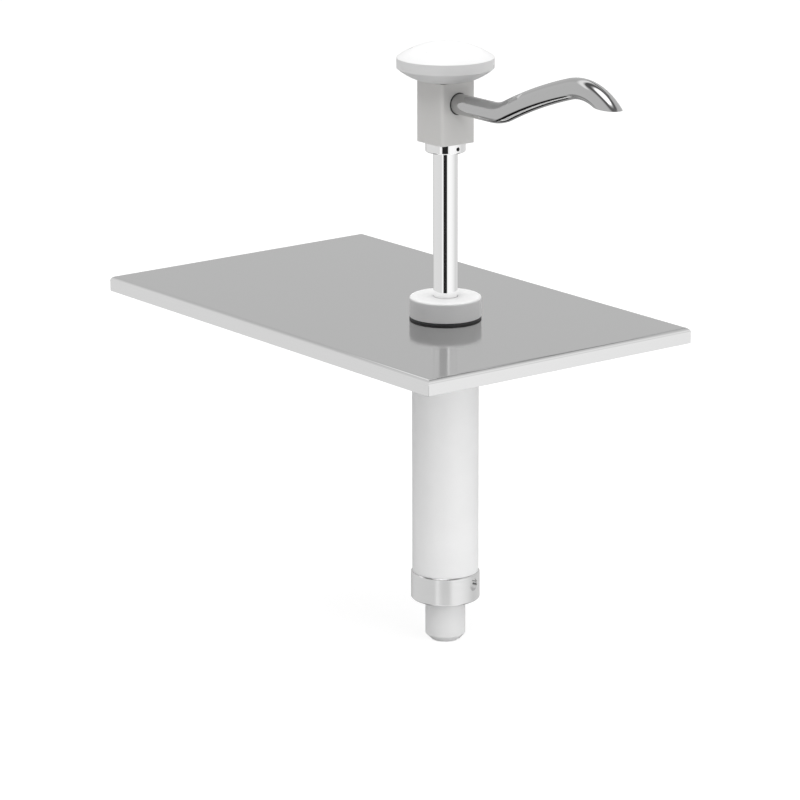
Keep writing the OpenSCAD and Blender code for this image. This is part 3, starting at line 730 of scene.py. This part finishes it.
class PUMP_OT_clamp(bpy.types.Operator):
    """Make the gasket, the collar nut and the guide bush"""
    bl_idname = "pump.clamp"
    bl_label = "Gasket, collar nut and bush"

    def execute(self, context):
        sizes = context.scene.pump_clamp
        low, high = span("plate_gasket")
        outer, bore = radius_of("plate_gasket"), sizes.hole
        gasket = turn("gasket_ring", "black_rubber", [
            (bore, low, 0), (outer, low, 2 * SOFT), (outer, high, 2 * SOFT), (bore, high, 0)])
        mount(gasket, "black_rubber", "base", "plate_gasket")

        low, high = span("collar_nut")
        outer, hole = radius_of("collar_nut"), sizes.collar_hole
        under = high - sizes.collar_top
        neck = context.scene.pump_cylinder.neck + GAP
        collar = turn("collar_nut_body", "white_plastic", [
            (neck, low, 0.15 * MM), (outer, low, 0.15 * MM), (outer, high, sizes.collar_round),
            (hole, high, 0.12 * MM), (hole, under, 0), (neck, under, 0)], 160, 8)
        mount(collar, "white_plastic", "base", "collar_nut")

        low, high = span("guide_bush")
        outer, bore, foot = radius_of("guide_bush"), sizes.bush_bore, under - sizes.flange
        bush = turn("guide_bush_body", "bush_plastic", [
            (bore, low, 0), (sizes.bush, low, 0), (sizes.bush, foot, 0), (outer, foot, 0),
            (outer, high, 0), (bore, high, 0)])
        mount(bush, "bush_plastic", "base", "guide_bush")
        return {"FINISHED"}


class PUMP_OT_cylinder(bpy.types.Operator):
    """Make the cylinder that hangs under the lid"""
    bl_idname = "pump.cylinder"
    bl_label = "Cylinder"

    def execute(self, context):
        sizes = context.scene.pump_cylinder
        low, high = span("pump_cylinder")
        outer, look = radius_of("pump_cylinder"), "cylinder_plastic"
        under = span("lid_plate")[1] - context.scene.pump_lid.sheet
        nut_top = span("valve_ring_nut")[1]
        body = turn("cylinder_body", look, [
            (sizes.bore, low, 0), (sizes.tail, low, 3 * SOFT), (sizes.tail, nut_top, 0),
            (outer, nut_top, 3 * SOFT), (outer, under, 2 * SOFT), (sizes.neck, under, 0),
            (sizes.neck, high, 4 * SOFT), (sizes.neck_bore, high, 2 * SOFT),
            (sizes.neck_bore, sizes.web_high, 0), (sizes.web_hole, sizes.web_high, 0),
            (sizes.web_hole, sizes.web_low, 0), (sizes.bore, sizes.web_low, 0)], 160)
        shape_by_tree(body, "Radial holes", look, count=1, first_turn=sizes.vent_turn,
                      radius=sizes.vent, start=sizes.web_hole, depth=outer,
                      height=sizes.web_low - sizes.vent_down)
        mount(body, look, "base", "pump_cylinder")
        return {"FINISHED"}


class PUMP_OT_foot_valve(bpy.types.Operator):
    """Make the ring nut and the foot valve's body with its suction spigot"""
    bl_idname = "pump.foot_valve"
    bl_label = "Ring nut and foot valve"

    def execute(self, context):
        sizes = context.scene.pump_cylinder
        low, high = span("valve_ring_nut")
        outer, bevel = radius_of("valve_ring_nut"), sizes.nut_bevel
        inner, lip = sizes.tail + GAP, low + sizes.nut_lip
        shoulder = sizes.spigot + 0.3 * MM
        nut = turn("ring_nut", "satin_nut", [
            (shoulder + GAP, low, SOFT), (outer - bevel, low, SOFT), (outer, low + bevel, SOFT),
            (outer, high - bevel, SOFT), (outer - bevel, high, SOFT), (inner, high, 1.5 * SOFT),
            (inner, lip, 0), (shoulder + GAP, lip, 0)], 160, 3)
        shape_by_tree(nut, "Radial holes", "satin_nut", count=2, first_turn=sizes.spanner_turn,
                      radius=sizes.spanner, start=outer - sizes.spanner_depth, depth=outer,
                      height=low + sizes.spanner_up)
        mount(nut, "satin_nut", "base", "valve_ring_nut", 30.0)

        foot, plug = span("foot_valve_body")
        wide = radius_of("foot_valve_body")
        ball_low, ball_high = span("foot_ball")
        middle, ball = (ball_low + ball_high) / 2, (ball_high - ball_low) / 2
        throat_top = middle - (ball + GAP) * math.sqrt(2) + sizes.throat
        inlet_top = throat_top - sizes.throat_depth
        seat = sizes.tail - GAP
        tail = span("pump_cylinder")[0]
        seal_low, seal_high = span("foot_valve_oring")
        groove_low, groove_high = seal_low - 2 * GAP, seal_high + 2 * GAP
        groove_floor = wide - (seal_high - seal_low)
        body = turn("foot_valve_housing", "cylinder_plastic", [
            (sizes.inlet, foot, 2 * SOFT), (sizes.spigot - sizes.chamfer, foot, 2.5 * SOFT),
            (sizes.spigot, foot + sizes.chamfer, 3 * SOFT), (sizes.spigot, low, 0),
            (shoulder, low, 0), (shoulder, lip, 0), (seat, lip, 0), (seat, tail, 0),
            (wide, tail, 0), (wide, groove_low, 0), (groove_floor, groove_low, 0),
            (groove_floor, groove_high, 0), (wide, groove_high, 0),
            (wide, plug, 3 * SOFT), (sizes.chamber, plug, 2 * SOFT),
            (sizes.chamber, throat_top + sizes.chamber - sizes.throat, 0),
            (sizes.throat, throat_top, 0), (sizes.throat, inlet_top, 0),
            (sizes.inlet, inlet_top, 0)])
        reach, half = 2 * sizes.spigot, sizes.slot_width / 2
        slot = slab((AXIS_X - reach, -half, foot - MM),
                    (AXIS_X + reach, half, foot + sizes.slot_depth), sizes.slot_turn)
        pin_low, pin_high = span("foot_ball_pin")
        pin = (pin_low + pin_high) / 2
        carve(body, slot, rod((AXIS_X, -2 * wide, pin), (AXIS_X, 2 * wide, pin),
                              (pin_high - pin_low) / 2 + GAP))
        mount(body, "cylinder_plastic", "base", "foot_valve_body", 30.0)
        return {"FINISHED"}


class PUMP_OT_stem(bpy.types.Operator):
    """Make the polished stem, the ring under the head and its grub screw"""
    bl_idname = "pump.stem"
    bl_label = "Stem and ring"

    def execute(self, context):
        sizes, look = context.scene.pump_stem, "polished_steel"
        low, high = span("stem_tube")
        outer, bevel = radius_of("stem_tube"), sizes.end_bevel
        stem = turn("stem_rod", look, [
            (sizes.bore, low, 0), (outer - bevel, low, 0), (outer, low + bevel, 0),
            (outer, high - bevel, 0), (outer - bevel, high, 0), (sizes.bore, high, 0)], 160)
        mount(stem, look, "plunger", "stem_tube")

        low, high = span("stem_ring")
        middle, wide, bevel = (low + high) / 2, radius_of("stem_ring"), sizes.ring_bevel
        ring = turn("stem_collar_ring", look, [
            (outer + GAP, low, SOFT), (wide - bevel, low, SOFT), (wide, low + bevel, SOFT),
            (wide, high, SOFT), (outer + GAP, high, 0)], 160, 3)
        shape_by_tree(ring, "Radial holes", look, count=1, first_turn=0.0,
                      radius=sizes.screw + GAP, start=outer / 2, depth=wide, height=middle)
        mount(ring, look, "plunger", "stem_ring", 30.0)

        inner, end = (corner.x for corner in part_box("ring_grub_screw"))
        screw = rod((inner, 0, middle), (end, 0, middle), sizes.screw, 48)
        screw.name = "grub_screw"
        carve(screw, rod((end - sizes.socket_depth, 0, middle), (end + MM, 0, middle),
                         sizes.socket, 6))
        mount(screw, "dark_screw_steel", "plunger", "ring_grub_screw", 30.0)
        return {"FINISHED"}


def block_body(edge):
    """The square block with rounded upright edges and slightly eased ends."""
    low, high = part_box("head_block")
    half = (high.y - low.y) / 2
    work = bmesh.new()
    bmesh.ops.create_cube(work, size=1.0, matrix=Matrix.Translation((low + high) / 2)
                          @ Matrix.Diagonal((2 * half, 2 * half, high.z - low.z, 1.0)))
    upright = [e for e in work.edges if abs((e.verts[0].co - e.verts[1].co).z) > half]
    bmesh.ops.bevel(work, geom=upright, offset=edge, segments=8, profile=0.5, affect="EDGES")
    ends = [e for e in work.edges if len(e.link_faces) == 2
            and any(abs(f.normal.z) > 0.9 for f in e.link_faces)]
    bmesh.ops.bevel(work, geom=ends, offset=1.5 * SOFT, segments=2, profile=0.5, affect="EDGES")
    return from_bmesh("head_block_body", work), low.z, high.z, half


def knob_corners(sizes, steps=22):
    """The knob's outline: a curved bowl, an upright rim and a dome that is part of a sphere."""
    low, high = span("knob")
    rim, bowl, foot = radius_of("knob"), sizes.knob_bowl, sizes.knob_foot
    curve, edge = sizes.bowl_curve, sizes.knob_edge
    rim_top = low + bowl + sizes.knob_rim
    # Middle of the bowl's arc, inside the knob, and the dome's sphere under its top
    chord = Vector((rim - foot, bowl))
    in_by = math.sqrt((curve / chord.length) ** 2 - 0.25)
    middle = Vector((rim + foot, bowl)) / 2 + in_by * Vector((-chord.y, chord.x))
    dome = (rim ** 2 + (high - rim_top) ** 2) / (2 * (high - rim_top))
    corners = [(sizes.stud, low, 0), (foot - 1.5 * SOFT, low, 0), (foot, low + SOFT, 0)]
    for z in (bowl * k / steps for k in range(1, steps)):
        corners.append((middle.x + math.sqrt(curve ** 2 - (middle.y - z) ** 2), low + z, 0))
    corners += [(rim, low + bowl, edge), (rim, rim_top, edge)]
    for a in (math.asin(rim / dome) * (1 - k / steps) for k in range(1, steps)):
        corners.append((dome * math.sin(a), high - dome + dome * math.cos(a), 0))
    return corners + [(0.0, high, 0), (0.0, low + sizes.stud_up, 0),
                      (sizes.stud, low + sizes.stud_up, 0)]


class PUMP_OT_head(bpy.types.Operator):
    """Make the square head block and the mushroom knob"""
    bl_idname = "pump.head"
    bl_label = "Head block and knob"

    def execute(self, context):
        sizes, spout = context.scene.pump_head, context.scene.pump_spout
        block, low, high, half = block_body(sizes.edge)
        stem_top, level, face = span("stem_tube")[1], spout.height, AXIS_X + half
        seal_low, seal_high = span("head_oring")
        carve(
            block,
            upright_rod(low - MM, stem_top + GAP, radius_of("stem_tube") + GAP),
            upright_rod(seal_low - 2 * GAP, seal_high + 2 * GAP, radius_of("head_oring") + GAP),
            upright_rod(stem_top, level, sizes.channel),
            rod((AXIS_X - sizes.channel, 0, level), (face, 0, level), sizes.channel),
            rod((AXIS_X + spout.root - GAP, 0, level), (face + MM, 0, level), spout.tube + GAP),
            rod((face - 2 * spout.ring, 0, level), (face + MM, 0, level),
                spout.tube + 2 * spout.ring + GAP),
            upright_rod(high - sizes.stud_down, high + MM, sizes.stud))
        mount(block, "grey_head_plastic", "plunger", "head_block", 30.0)
        knob = turn("knob_body", "knob_plastic", knob_corners(sizes), 192)
        mount(knob, "knob_plastic", "plunger", "knob", 25.0)
        return {"FINISHED"}


def spout_path(sizes):
    """Points of the tube's centre line, and the place and height of the mouth's level cut."""
    bend, rise, crest, cut = sizes.bend, sizes.rise, sizes.crest, sizes.mouth_drop
    steep, gentle = sizes.bend_slope, sizes.rise_slope
    path = [(sizes.root + (sizes.level - sizes.root) * k / 24, sizes.height) for k in range(25)]
    # The crest's arc runs on until the whole tube is under the cut
    last = max(math.acos((crest - cut) / (crest + sizes.tube)) + math.radians(5),
               math.acos((crest - cut - sizes.tube) / crest))
    # Each arc starts where the path ends, and its middle is over it (1) or under it (-1)
    arcs = ((bend, 1, 0.0, steep, 20), (rise, -1, steep, gentle, 30),
            (crest, -1, gentle, -last, 60))
    for radius, over, first, end, steps in arcs:
        middle = Vector(path[-1]) + over * radius * Vector((-math.sin(first), math.cos(first)))
        for k in range(1, steps + 1):
            a = first + (end - first) * k / steps
            path.append((middle.x + over * radius * math.sin(a),
                         middle.y - over * radius * math.cos(a)))
    return [(AXIS_X + x, 0.0, z) for x, z in path], AXIS_X + middle.x, middle.y + crest - cut


class PUMP_OT_spout(bpy.types.Operator):
    """Make the spout's bent tube and the sealing ring at its root"""
    bl_idname = "pump.spout"
    bl_label = "Spout"

    def execute(self, context):
        sizes, look = context.scene.pump_spout, "polished_spout_steel"
        path, crest_x, mouth = spout_path(sizes)
        work = bmesh.new()
        for radius in (sizes.tube, sizes.bore):
            wall = sweep("wall", look, path, radius, 72)
            work.from_mesh(wall.data)
            bpy.data.objects.remove(wall)
        beyond = [v for v in work.verts if v.co.x > crest_x]
        faces = [f for f in work.faces if all(v.co.x > crest_x for v in f.verts)]
        edges = {e for f in faces for e in f.edges}
        bmesh.ops.bisect_plane(work, geom=beyond + list(edges) + faces, dist=WELD / 10,
                               plane_co=(0, 0, mouth), plane_no=(0, 0, -1), clear_outer=True)
        rims = [e for e in work.edges if e.is_boundary]
        root = [e for e in rims if e.verts[0].co.x < AXIS_X + 2 * sizes.root]
        bmesh.ops.bridge_loops(work, edges=root)
        bmesh.ops.triangle_fill(work, edges=[e for e in rims if e not in set(root)],
                                use_beauty=True, normal=(0, 0, -1))
        bmesh.ops.recalc_face_normals(work, faces=work.faces)
        mount(from_bmesh("spout_tube", work), look, "plunger", "spout", 40.0)

        low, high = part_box("spout_oring")
        x, level, mean = high.x - sizes.ring, (low.z + high.z) / 2, sizes.tube + sizes.ring
        ring_path = [(x, mean * math.cos(a), level + mean * math.sin(a))
                     for a in (math.tau * k / 96 for k in range(96))]
        ring = sweep("spout_root_ring", "spout_seal_rubber", ring_path, sizes.ring, 24, True)
        mount(ring, "spout_seal_rubber", "plunger", "spout_oring")
        return {"FINISHED"}


class PUMP_OT_spring(bpy.types.Operator):
    """Make the return spring"""
    bl_idname = "pump.spring"
    bl_label = "Return spring"

    def execute(self, context):
        sizes = context.scene.pump_spring
        low, high = span("return_spring")
        wire, look = sizes.wire, "spring_steel"
        spring = new_object("return_spring_wire", bpy.data.meshes.new("return_spring_wire"))
        shape_by_tree(spring, "Coil spring", look, turns=float(sizes.turns),
                      steps=48 * sizes.turns + 1, coil_radius=radius_of("return_spring") - wire,
                      wire_radius=wire, wire_sides=16, foot=low + wire,
                      height=high - low - 2 * wire, end_pitch=sizes.end_pitch)
        mount(spring, look, "base", "return_spring")
        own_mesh(spring)
        return {"FINISHED"}


class PUMP_OT_inner_parts(bpy.types.Operator):
    """Give the hidden seals, pins, balls, piston and stud their finishes"""
    bl_idname = "pump.inner_parts"
    bl_label = "Inner parts"

    def execute(self, context):
        slots = {
            "black_rubber": ("stem_wiper", "foot_valve_oring", "head_oring",
                             "piston_seal_upper", "piston_seal_lower"),
            "spring_steel": ("foot_ball_pin", "thrust_washer", "knob_stud",
                             "discharge_ball_pin", "foot_ball", "discharge_ball"),
            "bush_plastic": ("piston", "discharge_seat"),
        }
        for slot, nodes in slots.items():
            for node in nodes:
                dress(node, slot)
        return {"FINISHED"}


# Stage

# Brightness all round the horizon as polished metal sees it: azimuth from +X, level. Pale walls
# with a bright window of cloth at the front right
HORIZON = [
    (-180.0, 0.66), (-165.0, 0.76), (-72.0, 0.74), (-70.0, 0.98), (-22.0, 0.87), (-10.0, 1.04),
    (15.0, 1.02), (40.0, 0.91), (67.0, 0.71), (106.0, 0.73), (142.0, 0.70), (180.0, 0.66),
]
# Share of that brightness by the angle from the studio's top, which leans a little: a panel
# overhead, a dark gap under it, the plain walls, and a dark rim round a pale table
STUDIO_TOP = (-145.0, 84.0)
HEIGHTS = [
    (0.0, 2.9), (15.0, 2.9), (20.0, 0.7), (24.0, 0.2), (32.0, 0.2), (38.0, 0.8), (44.0, 1.0),
    (131.0, 1.0), (134.0, 0.55), (136.0, 0.015), (146.5, 0.015), (148.5, 1.5), (180.0, 1.5),
]
# Cards that polished metal sees: azimuth, elevation, half width and half height, softness of
# the edges, level
CARDS = [
    (146.0, -20.0, 18.0, 26.0, 3.0, 0.40),
    (-40.2, -2.5, 16.7, 12.5, 0.5, 0.02),
    (174.0, -38.0, 22.0, 11.0, 3.0, 0.36),
    (-58.0, 17.0, 38.0, 6.5, 1.0, 0.52),
    (24.0, 17.0, 24.0, 6.5, 1.0, 0.72),
    (180.0, 47.0, 36.0, 4.5, 2.5, 1.25),
]
# A dark board past the lid's right edge, seen in the bend: its bounds across Y and their
# softness, the angles round the Y axis from +X that it spans and theirs in radians, its level
BOARD_Y = (0.55, 0.62, 0.008)
BOARD_TURN = (math.radians(97.0), math.radians(145.0), 0.03)
BOARD_LEVEL = 0.02

FLOOR_HALF = 6.0
# What the camera sees of the floor: its colour under the lamps, and its own light
FLOOR_SHOWN = (0.3, 0.3, 0.3, 1.0)
FLOOR_LIGHT = 0.84
WHITE = (1.0, 1.0, 1.0, 1.0)

def ramp(maker, factor, stops):
    """A colour ramp of grey levels at places from 0 to 1."""
    made = maker.node("ShaderNodeValToRGB", {"Fac": factor})
    strip = made.color_ramp.elements
    while len(strip) > 1:
        strip.remove(strip[-1])
    strip[0].position, strip[0].color = stops[0][0], (stops[0][1],) * 3 + (1.0,)
    for where, level in stops[1:]:
        strip.new(where).color = (level, level, level, 1.0)
    return made.outputs["Color"]


def towards(azimuth, elevation):
    """The direction with this azimuth and elevation in degrees."""
    a, e = math.radians(azimuth), math.radians(elevation)
    return Vector((math.cos(e) * math.cos(a), math.cos(e) * math.sin(a), math.sin(e)))


# Lamps: power's setting and share of it, place, what they are aimed at, disk's diameter
MIDDLE, UNDER_LID = Vector((AXIS_X, 0, 0)), Vector((AXIS_X, 0, -0.085))
LAMPS = {
    "overhead_lamp": ("overhead", 1.0, MIDDLE + Vector((0, 0, 1.7)), MIDDLE, 3.4),
    "side_lamp": ("side", 1.0, Vector((2.0, 0.4, 0.1)), MIDDLE, 0.5),
    "low_lamp_right": ("under", 1.0, UNDER_LID + 0.15 * towards(5, 0), UNDER_LID, 0.14),
    "low_lamp_left": ("under", 0.6, UNDER_LID + 0.15 * towards(-85, 0), UNDER_LID, 0.14),
}


def along(maker, direction, axis):
    """How far a direction reaches along an axis."""
    return maker.node("ShaderNodeVectorMath", {0: direction, 1: axis},
                      operation="DOT_PRODUCT").outputs["Value"]


def blend(maker, factor, first, second):
    """The first value where the factor is 0, and the second where it is 1."""
    return maker.out("ShaderNodeMix", {"Factor": factor, "A": first, "B": second},
                     data_type="FLOAT")


def inside(maker, off, outer, inner):
    """1 where a distance from the middle is under inner, 0 where it is over outer."""
    return maker.out("ShaderNodeMapRange", {
        "Value": maker.math("ABSOLUTE", off), "From Min": outer, "From Max": inner})


def card(maker, direction, behind, azimuth, elevation, half_width, half_height, soft, level):
    """A flat card with soft edges in front of what is behind it."""
    aim, side = towards(azimuth, elevation), towards(azimuth + 90, 0)
    ahead = along(maker, direction, aim)
    cover = maker.math("GREATER_THAN", ahead, 0.0)
    for axis, half in ((side, half_width), (aim.cross(side), half_height)):
        off = maker.math("DIVIDE", along(maker, direction, axis), ahead)
        cover = maker.math("MULTIPLY", cover, inside(
            maker, off, math.tan(math.radians(half + soft)), math.tan(math.radians(half - soft))))
    return blend(maker, cover, behind, level)


def board(maker, parts, behind):
    """The dark board, bounded by cones and half planes about the Y axis."""
    covers = []
    for value, (low, high, soft) in (
            (parts["Y"], BOARD_Y), (maker.math("ARCTAN2", parts["Z"], parts["X"]), BOARD_TURN)):
        half = (high - low) / 2
        off = maker.math("SUBTRACT", value, low + half)
        covers.append(inside(maker, off, half + soft, half - soft))
    return blend(maker, maker.math("MULTIPLY", *covers), behind, BOARD_LEVEL)


def surroundings(settings):
    """White behind the object, plain light on it, and a studio's greys in polished metal."""
    world = bpy.data.worlds.new("Surroundings")
    bpy.context.scene.world = world
    world.use_nodes = True
    world.node_tree.nodes.clear()
    maker = TreeMaker(world.node_tree)
    direction = maker.node("ShaderNodeTexCoord").outputs["Generated"]
    parts = maker.node("ShaderNodeSeparateXYZ", {"Vector": direction}).outputs
    azimuth = maker.math("ARCTAN2", parts["Y"], parts["X"])
    around = maker.math("MULTIPLY_ADD", azimuth, 1 / math.tau, 0.5)
    level = ramp(maker, around, [((a + 180) / 360, v) for a, v in HORIZON])
    from_top = maker.math("ARCCOSINE", along(maker, direction, towards(*STUDIO_TOP)))
    down = maker.math("DIVIDE", from_top, math.pi)
    seen = maker.math("MULTIPLY", level, ramp(maker, down, [(a / 180, v) for a, v in HEIGHTS]))
    for each in CARDS:
        seen = card(maker, direction, seen, *each)
    seen = board(maker, parts, seen)
    path = maker.node("ShaderNodeLightPath").outputs
    # Light that comes to plastic by way of the polished lid stays low
    straight = maker.math("LESS_THAN", path["Diffuse Depth"], 0.5)
    mirrored = blend(maker, straight, settings.lid_glow, seen)
    plain = blend(maker, path["Is Glossy Ray"], settings.sky, mirrored)
    shown = maker.math("MAXIMUM", path["Is Camera Ray"], path["Is Transmission Ray"])
    light = maker.out("ShaderNodeBackground",
                      {"Color": WHITE, "Strength": blend(maker, shown, plain, 1.0)})
    maker.node("ShaderNodeOutputWorld", {"Surface": light})


def floor_sheet(settings):
    """A wide pale floor at the spigot's end. It shows white and keeps a soft shadow."""
    work = bmesh.new()
    bmesh.ops.create_grid(work, x_segments=1, y_segments=1, size=FLOOR_HALF,
                          matrix=Matrix.Translation((AXIS_X, 0, CAD_BOX[0].z - 4 * GAP)))
    floor = from_bmesh("floor", work)
    material = bpy.data.materials.new("pale_floor")
    material.use_nodes = True
    material.node_tree.nodes.clear()
    maker = TreeMaker(material.node_tree)
    matt = maker.out("ShaderNodeBsdfDiffuse", {"Color": (*settings.floor, 1.0)})
    soft = maker.out("ShaderNodeBsdfDiffuse", {"Color": FLOOR_SHOWN})
    glow = maker.out("ShaderNodeEmission", {"Color": WHITE, "Strength": FLOOR_LIGHT})
    lit = maker.out("ShaderNodeAddShader", {0: soft, 1: glow})
    path = maker.node("ShaderNodeLightPath").outputs
    shown = maker.math("MAXIMUM", path["Is Camera Ray"],
                       maker.math("MAXIMUM", path["Is Glossy Ray"], path["Is Transmission Ray"]))
    both = maker.out("ShaderNodeMixShader", {0: shown, 1: matt, 2: lit})
    maker.node("ShaderNodeOutputMaterial", {"Surface": both})
    floor.data.materials.append(material)
    floor.visible_glossy = False


def point(made, place, ahead, roll=0.0):
    """Puts a lamp or camera in its place and turns it to look ahead."""
    bpy.context.scene.collection.objects.link(made)
    made.location = place
    made.rotation_mode = "QUATERNION"
    made.rotation_quaternion = (ahead.to_track_quat("-Z", "Y")
                                @ Quaternion((0.0, 0.0, 1.0), roll))


def camera(settings):
    """A camera at the photograph's place and angle."""
    data = bpy.data.cameras.new("camera")
    data.sensor_fit, data.sensor_width, data.lens = "HORIZONTAL", 36.0, settings.lens
    data.clip_start, data.clip_end = 0.05, 50.0
    made = bpy.data.objects.new("camera", data)
    turned, raised = settings.azimuth, settings.elevation
    back = Vector((math.sin(turned) * math.cos(raised), -math.cos(turned) * math.cos(raised),
                   math.sin(raised)))
    point(made, settings.position, -back, settings.roll)
    bpy.context.scene.camera = made


class PUMP_OT_stage(bpy.types.Operator):
    """Set up the floor, surroundings, lamps and camera"""
    bl_idname = "pump.stage"
    bl_label = "Stage"

    def execute(self, context):
        settings = context.scene.pump_stage
        context.scene.view_settings.view_transform = "Standard"
        surroundings(settings)
        floor_sheet(settings)
        for name, (field, part, place, aim, size) in LAMPS.items():
            data = bpy.data.lights.new(name, "AREA")
            data.shape, data.size, data.energy = "DISK", size, getattr(settings, field) * part
            made = bpy.data.objects.new(name, data)
            point(made, place, aim - place)
            made.visible_glossy = made.visible_camera = False
        camera(settings)
        return {"FINISHED"}


class PUMP_PT_panel(bpy.types.Panel):
    """Lists the pieces of the sauce pump"""
    bl_idname = "PUMP_PT_panel"
    bl_label = "Sauce pump"
    bl_space_type = "VIEW_3D"
    bl_region_type = "UI"
    bl_category = "Sauce pump"

    def draw(self, context):
        for operator in PIECE_OPERATORS:
            self.layout.operator(operator.bl_idname)
        for key, group in SETTINGS.items():
            box = self.layout.box()
            box.label(text=group.__doc__)
            for field in group.__annotations__:
                box.prop(getattr(context.scene, key), field)


SETTINGS = {
    "pump_lid": LidSettings, "pump_clamp": ClampSettings, "pump_cylinder": CylinderSettings,
    "pump_stem": StemSettings, "pump_head": HeadSettings, "pump_spout": SpoutSettings,
    "pump_spring": SpringSettings, "pump_stage": StageSettings,
}
PIECE_OPERATORS = (
    PUMP_OT_stage, PUMP_OT_lid, PUMP_OT_clamp, PUMP_OT_cylinder, PUMP_OT_foot_valve,
    PUMP_OT_stem, PUMP_OT_head, PUMP_OT_spout, PUMP_OT_spring, PUMP_OT_inner_parts,
)
CLASSES = (*SETTINGS.values(), *PIECE_OPERATORS, PUMP_PT_panel)


def register():
    for each in CLASSES:
        bpy.utils.register_class(each)
    for key, group in SETTINGS.items():
        setattr(bpy.types.Scene, key, PointerProperty(type=group))


def unregister():
    for key in SETTINGS:
        delattr(bpy.types.Scene, key)
    for each in reversed(CLASSES):
        bpy.utils.unregister_class(each)


def main():
    """Makes everything in order."""
    register()
    for operator in PIECE_OPERATORS:
        group, action = operator.bl_idname.split(".")
        getattr(getattr(bpy.ops, group), action)()


if __name__ == "__main__":
    main()
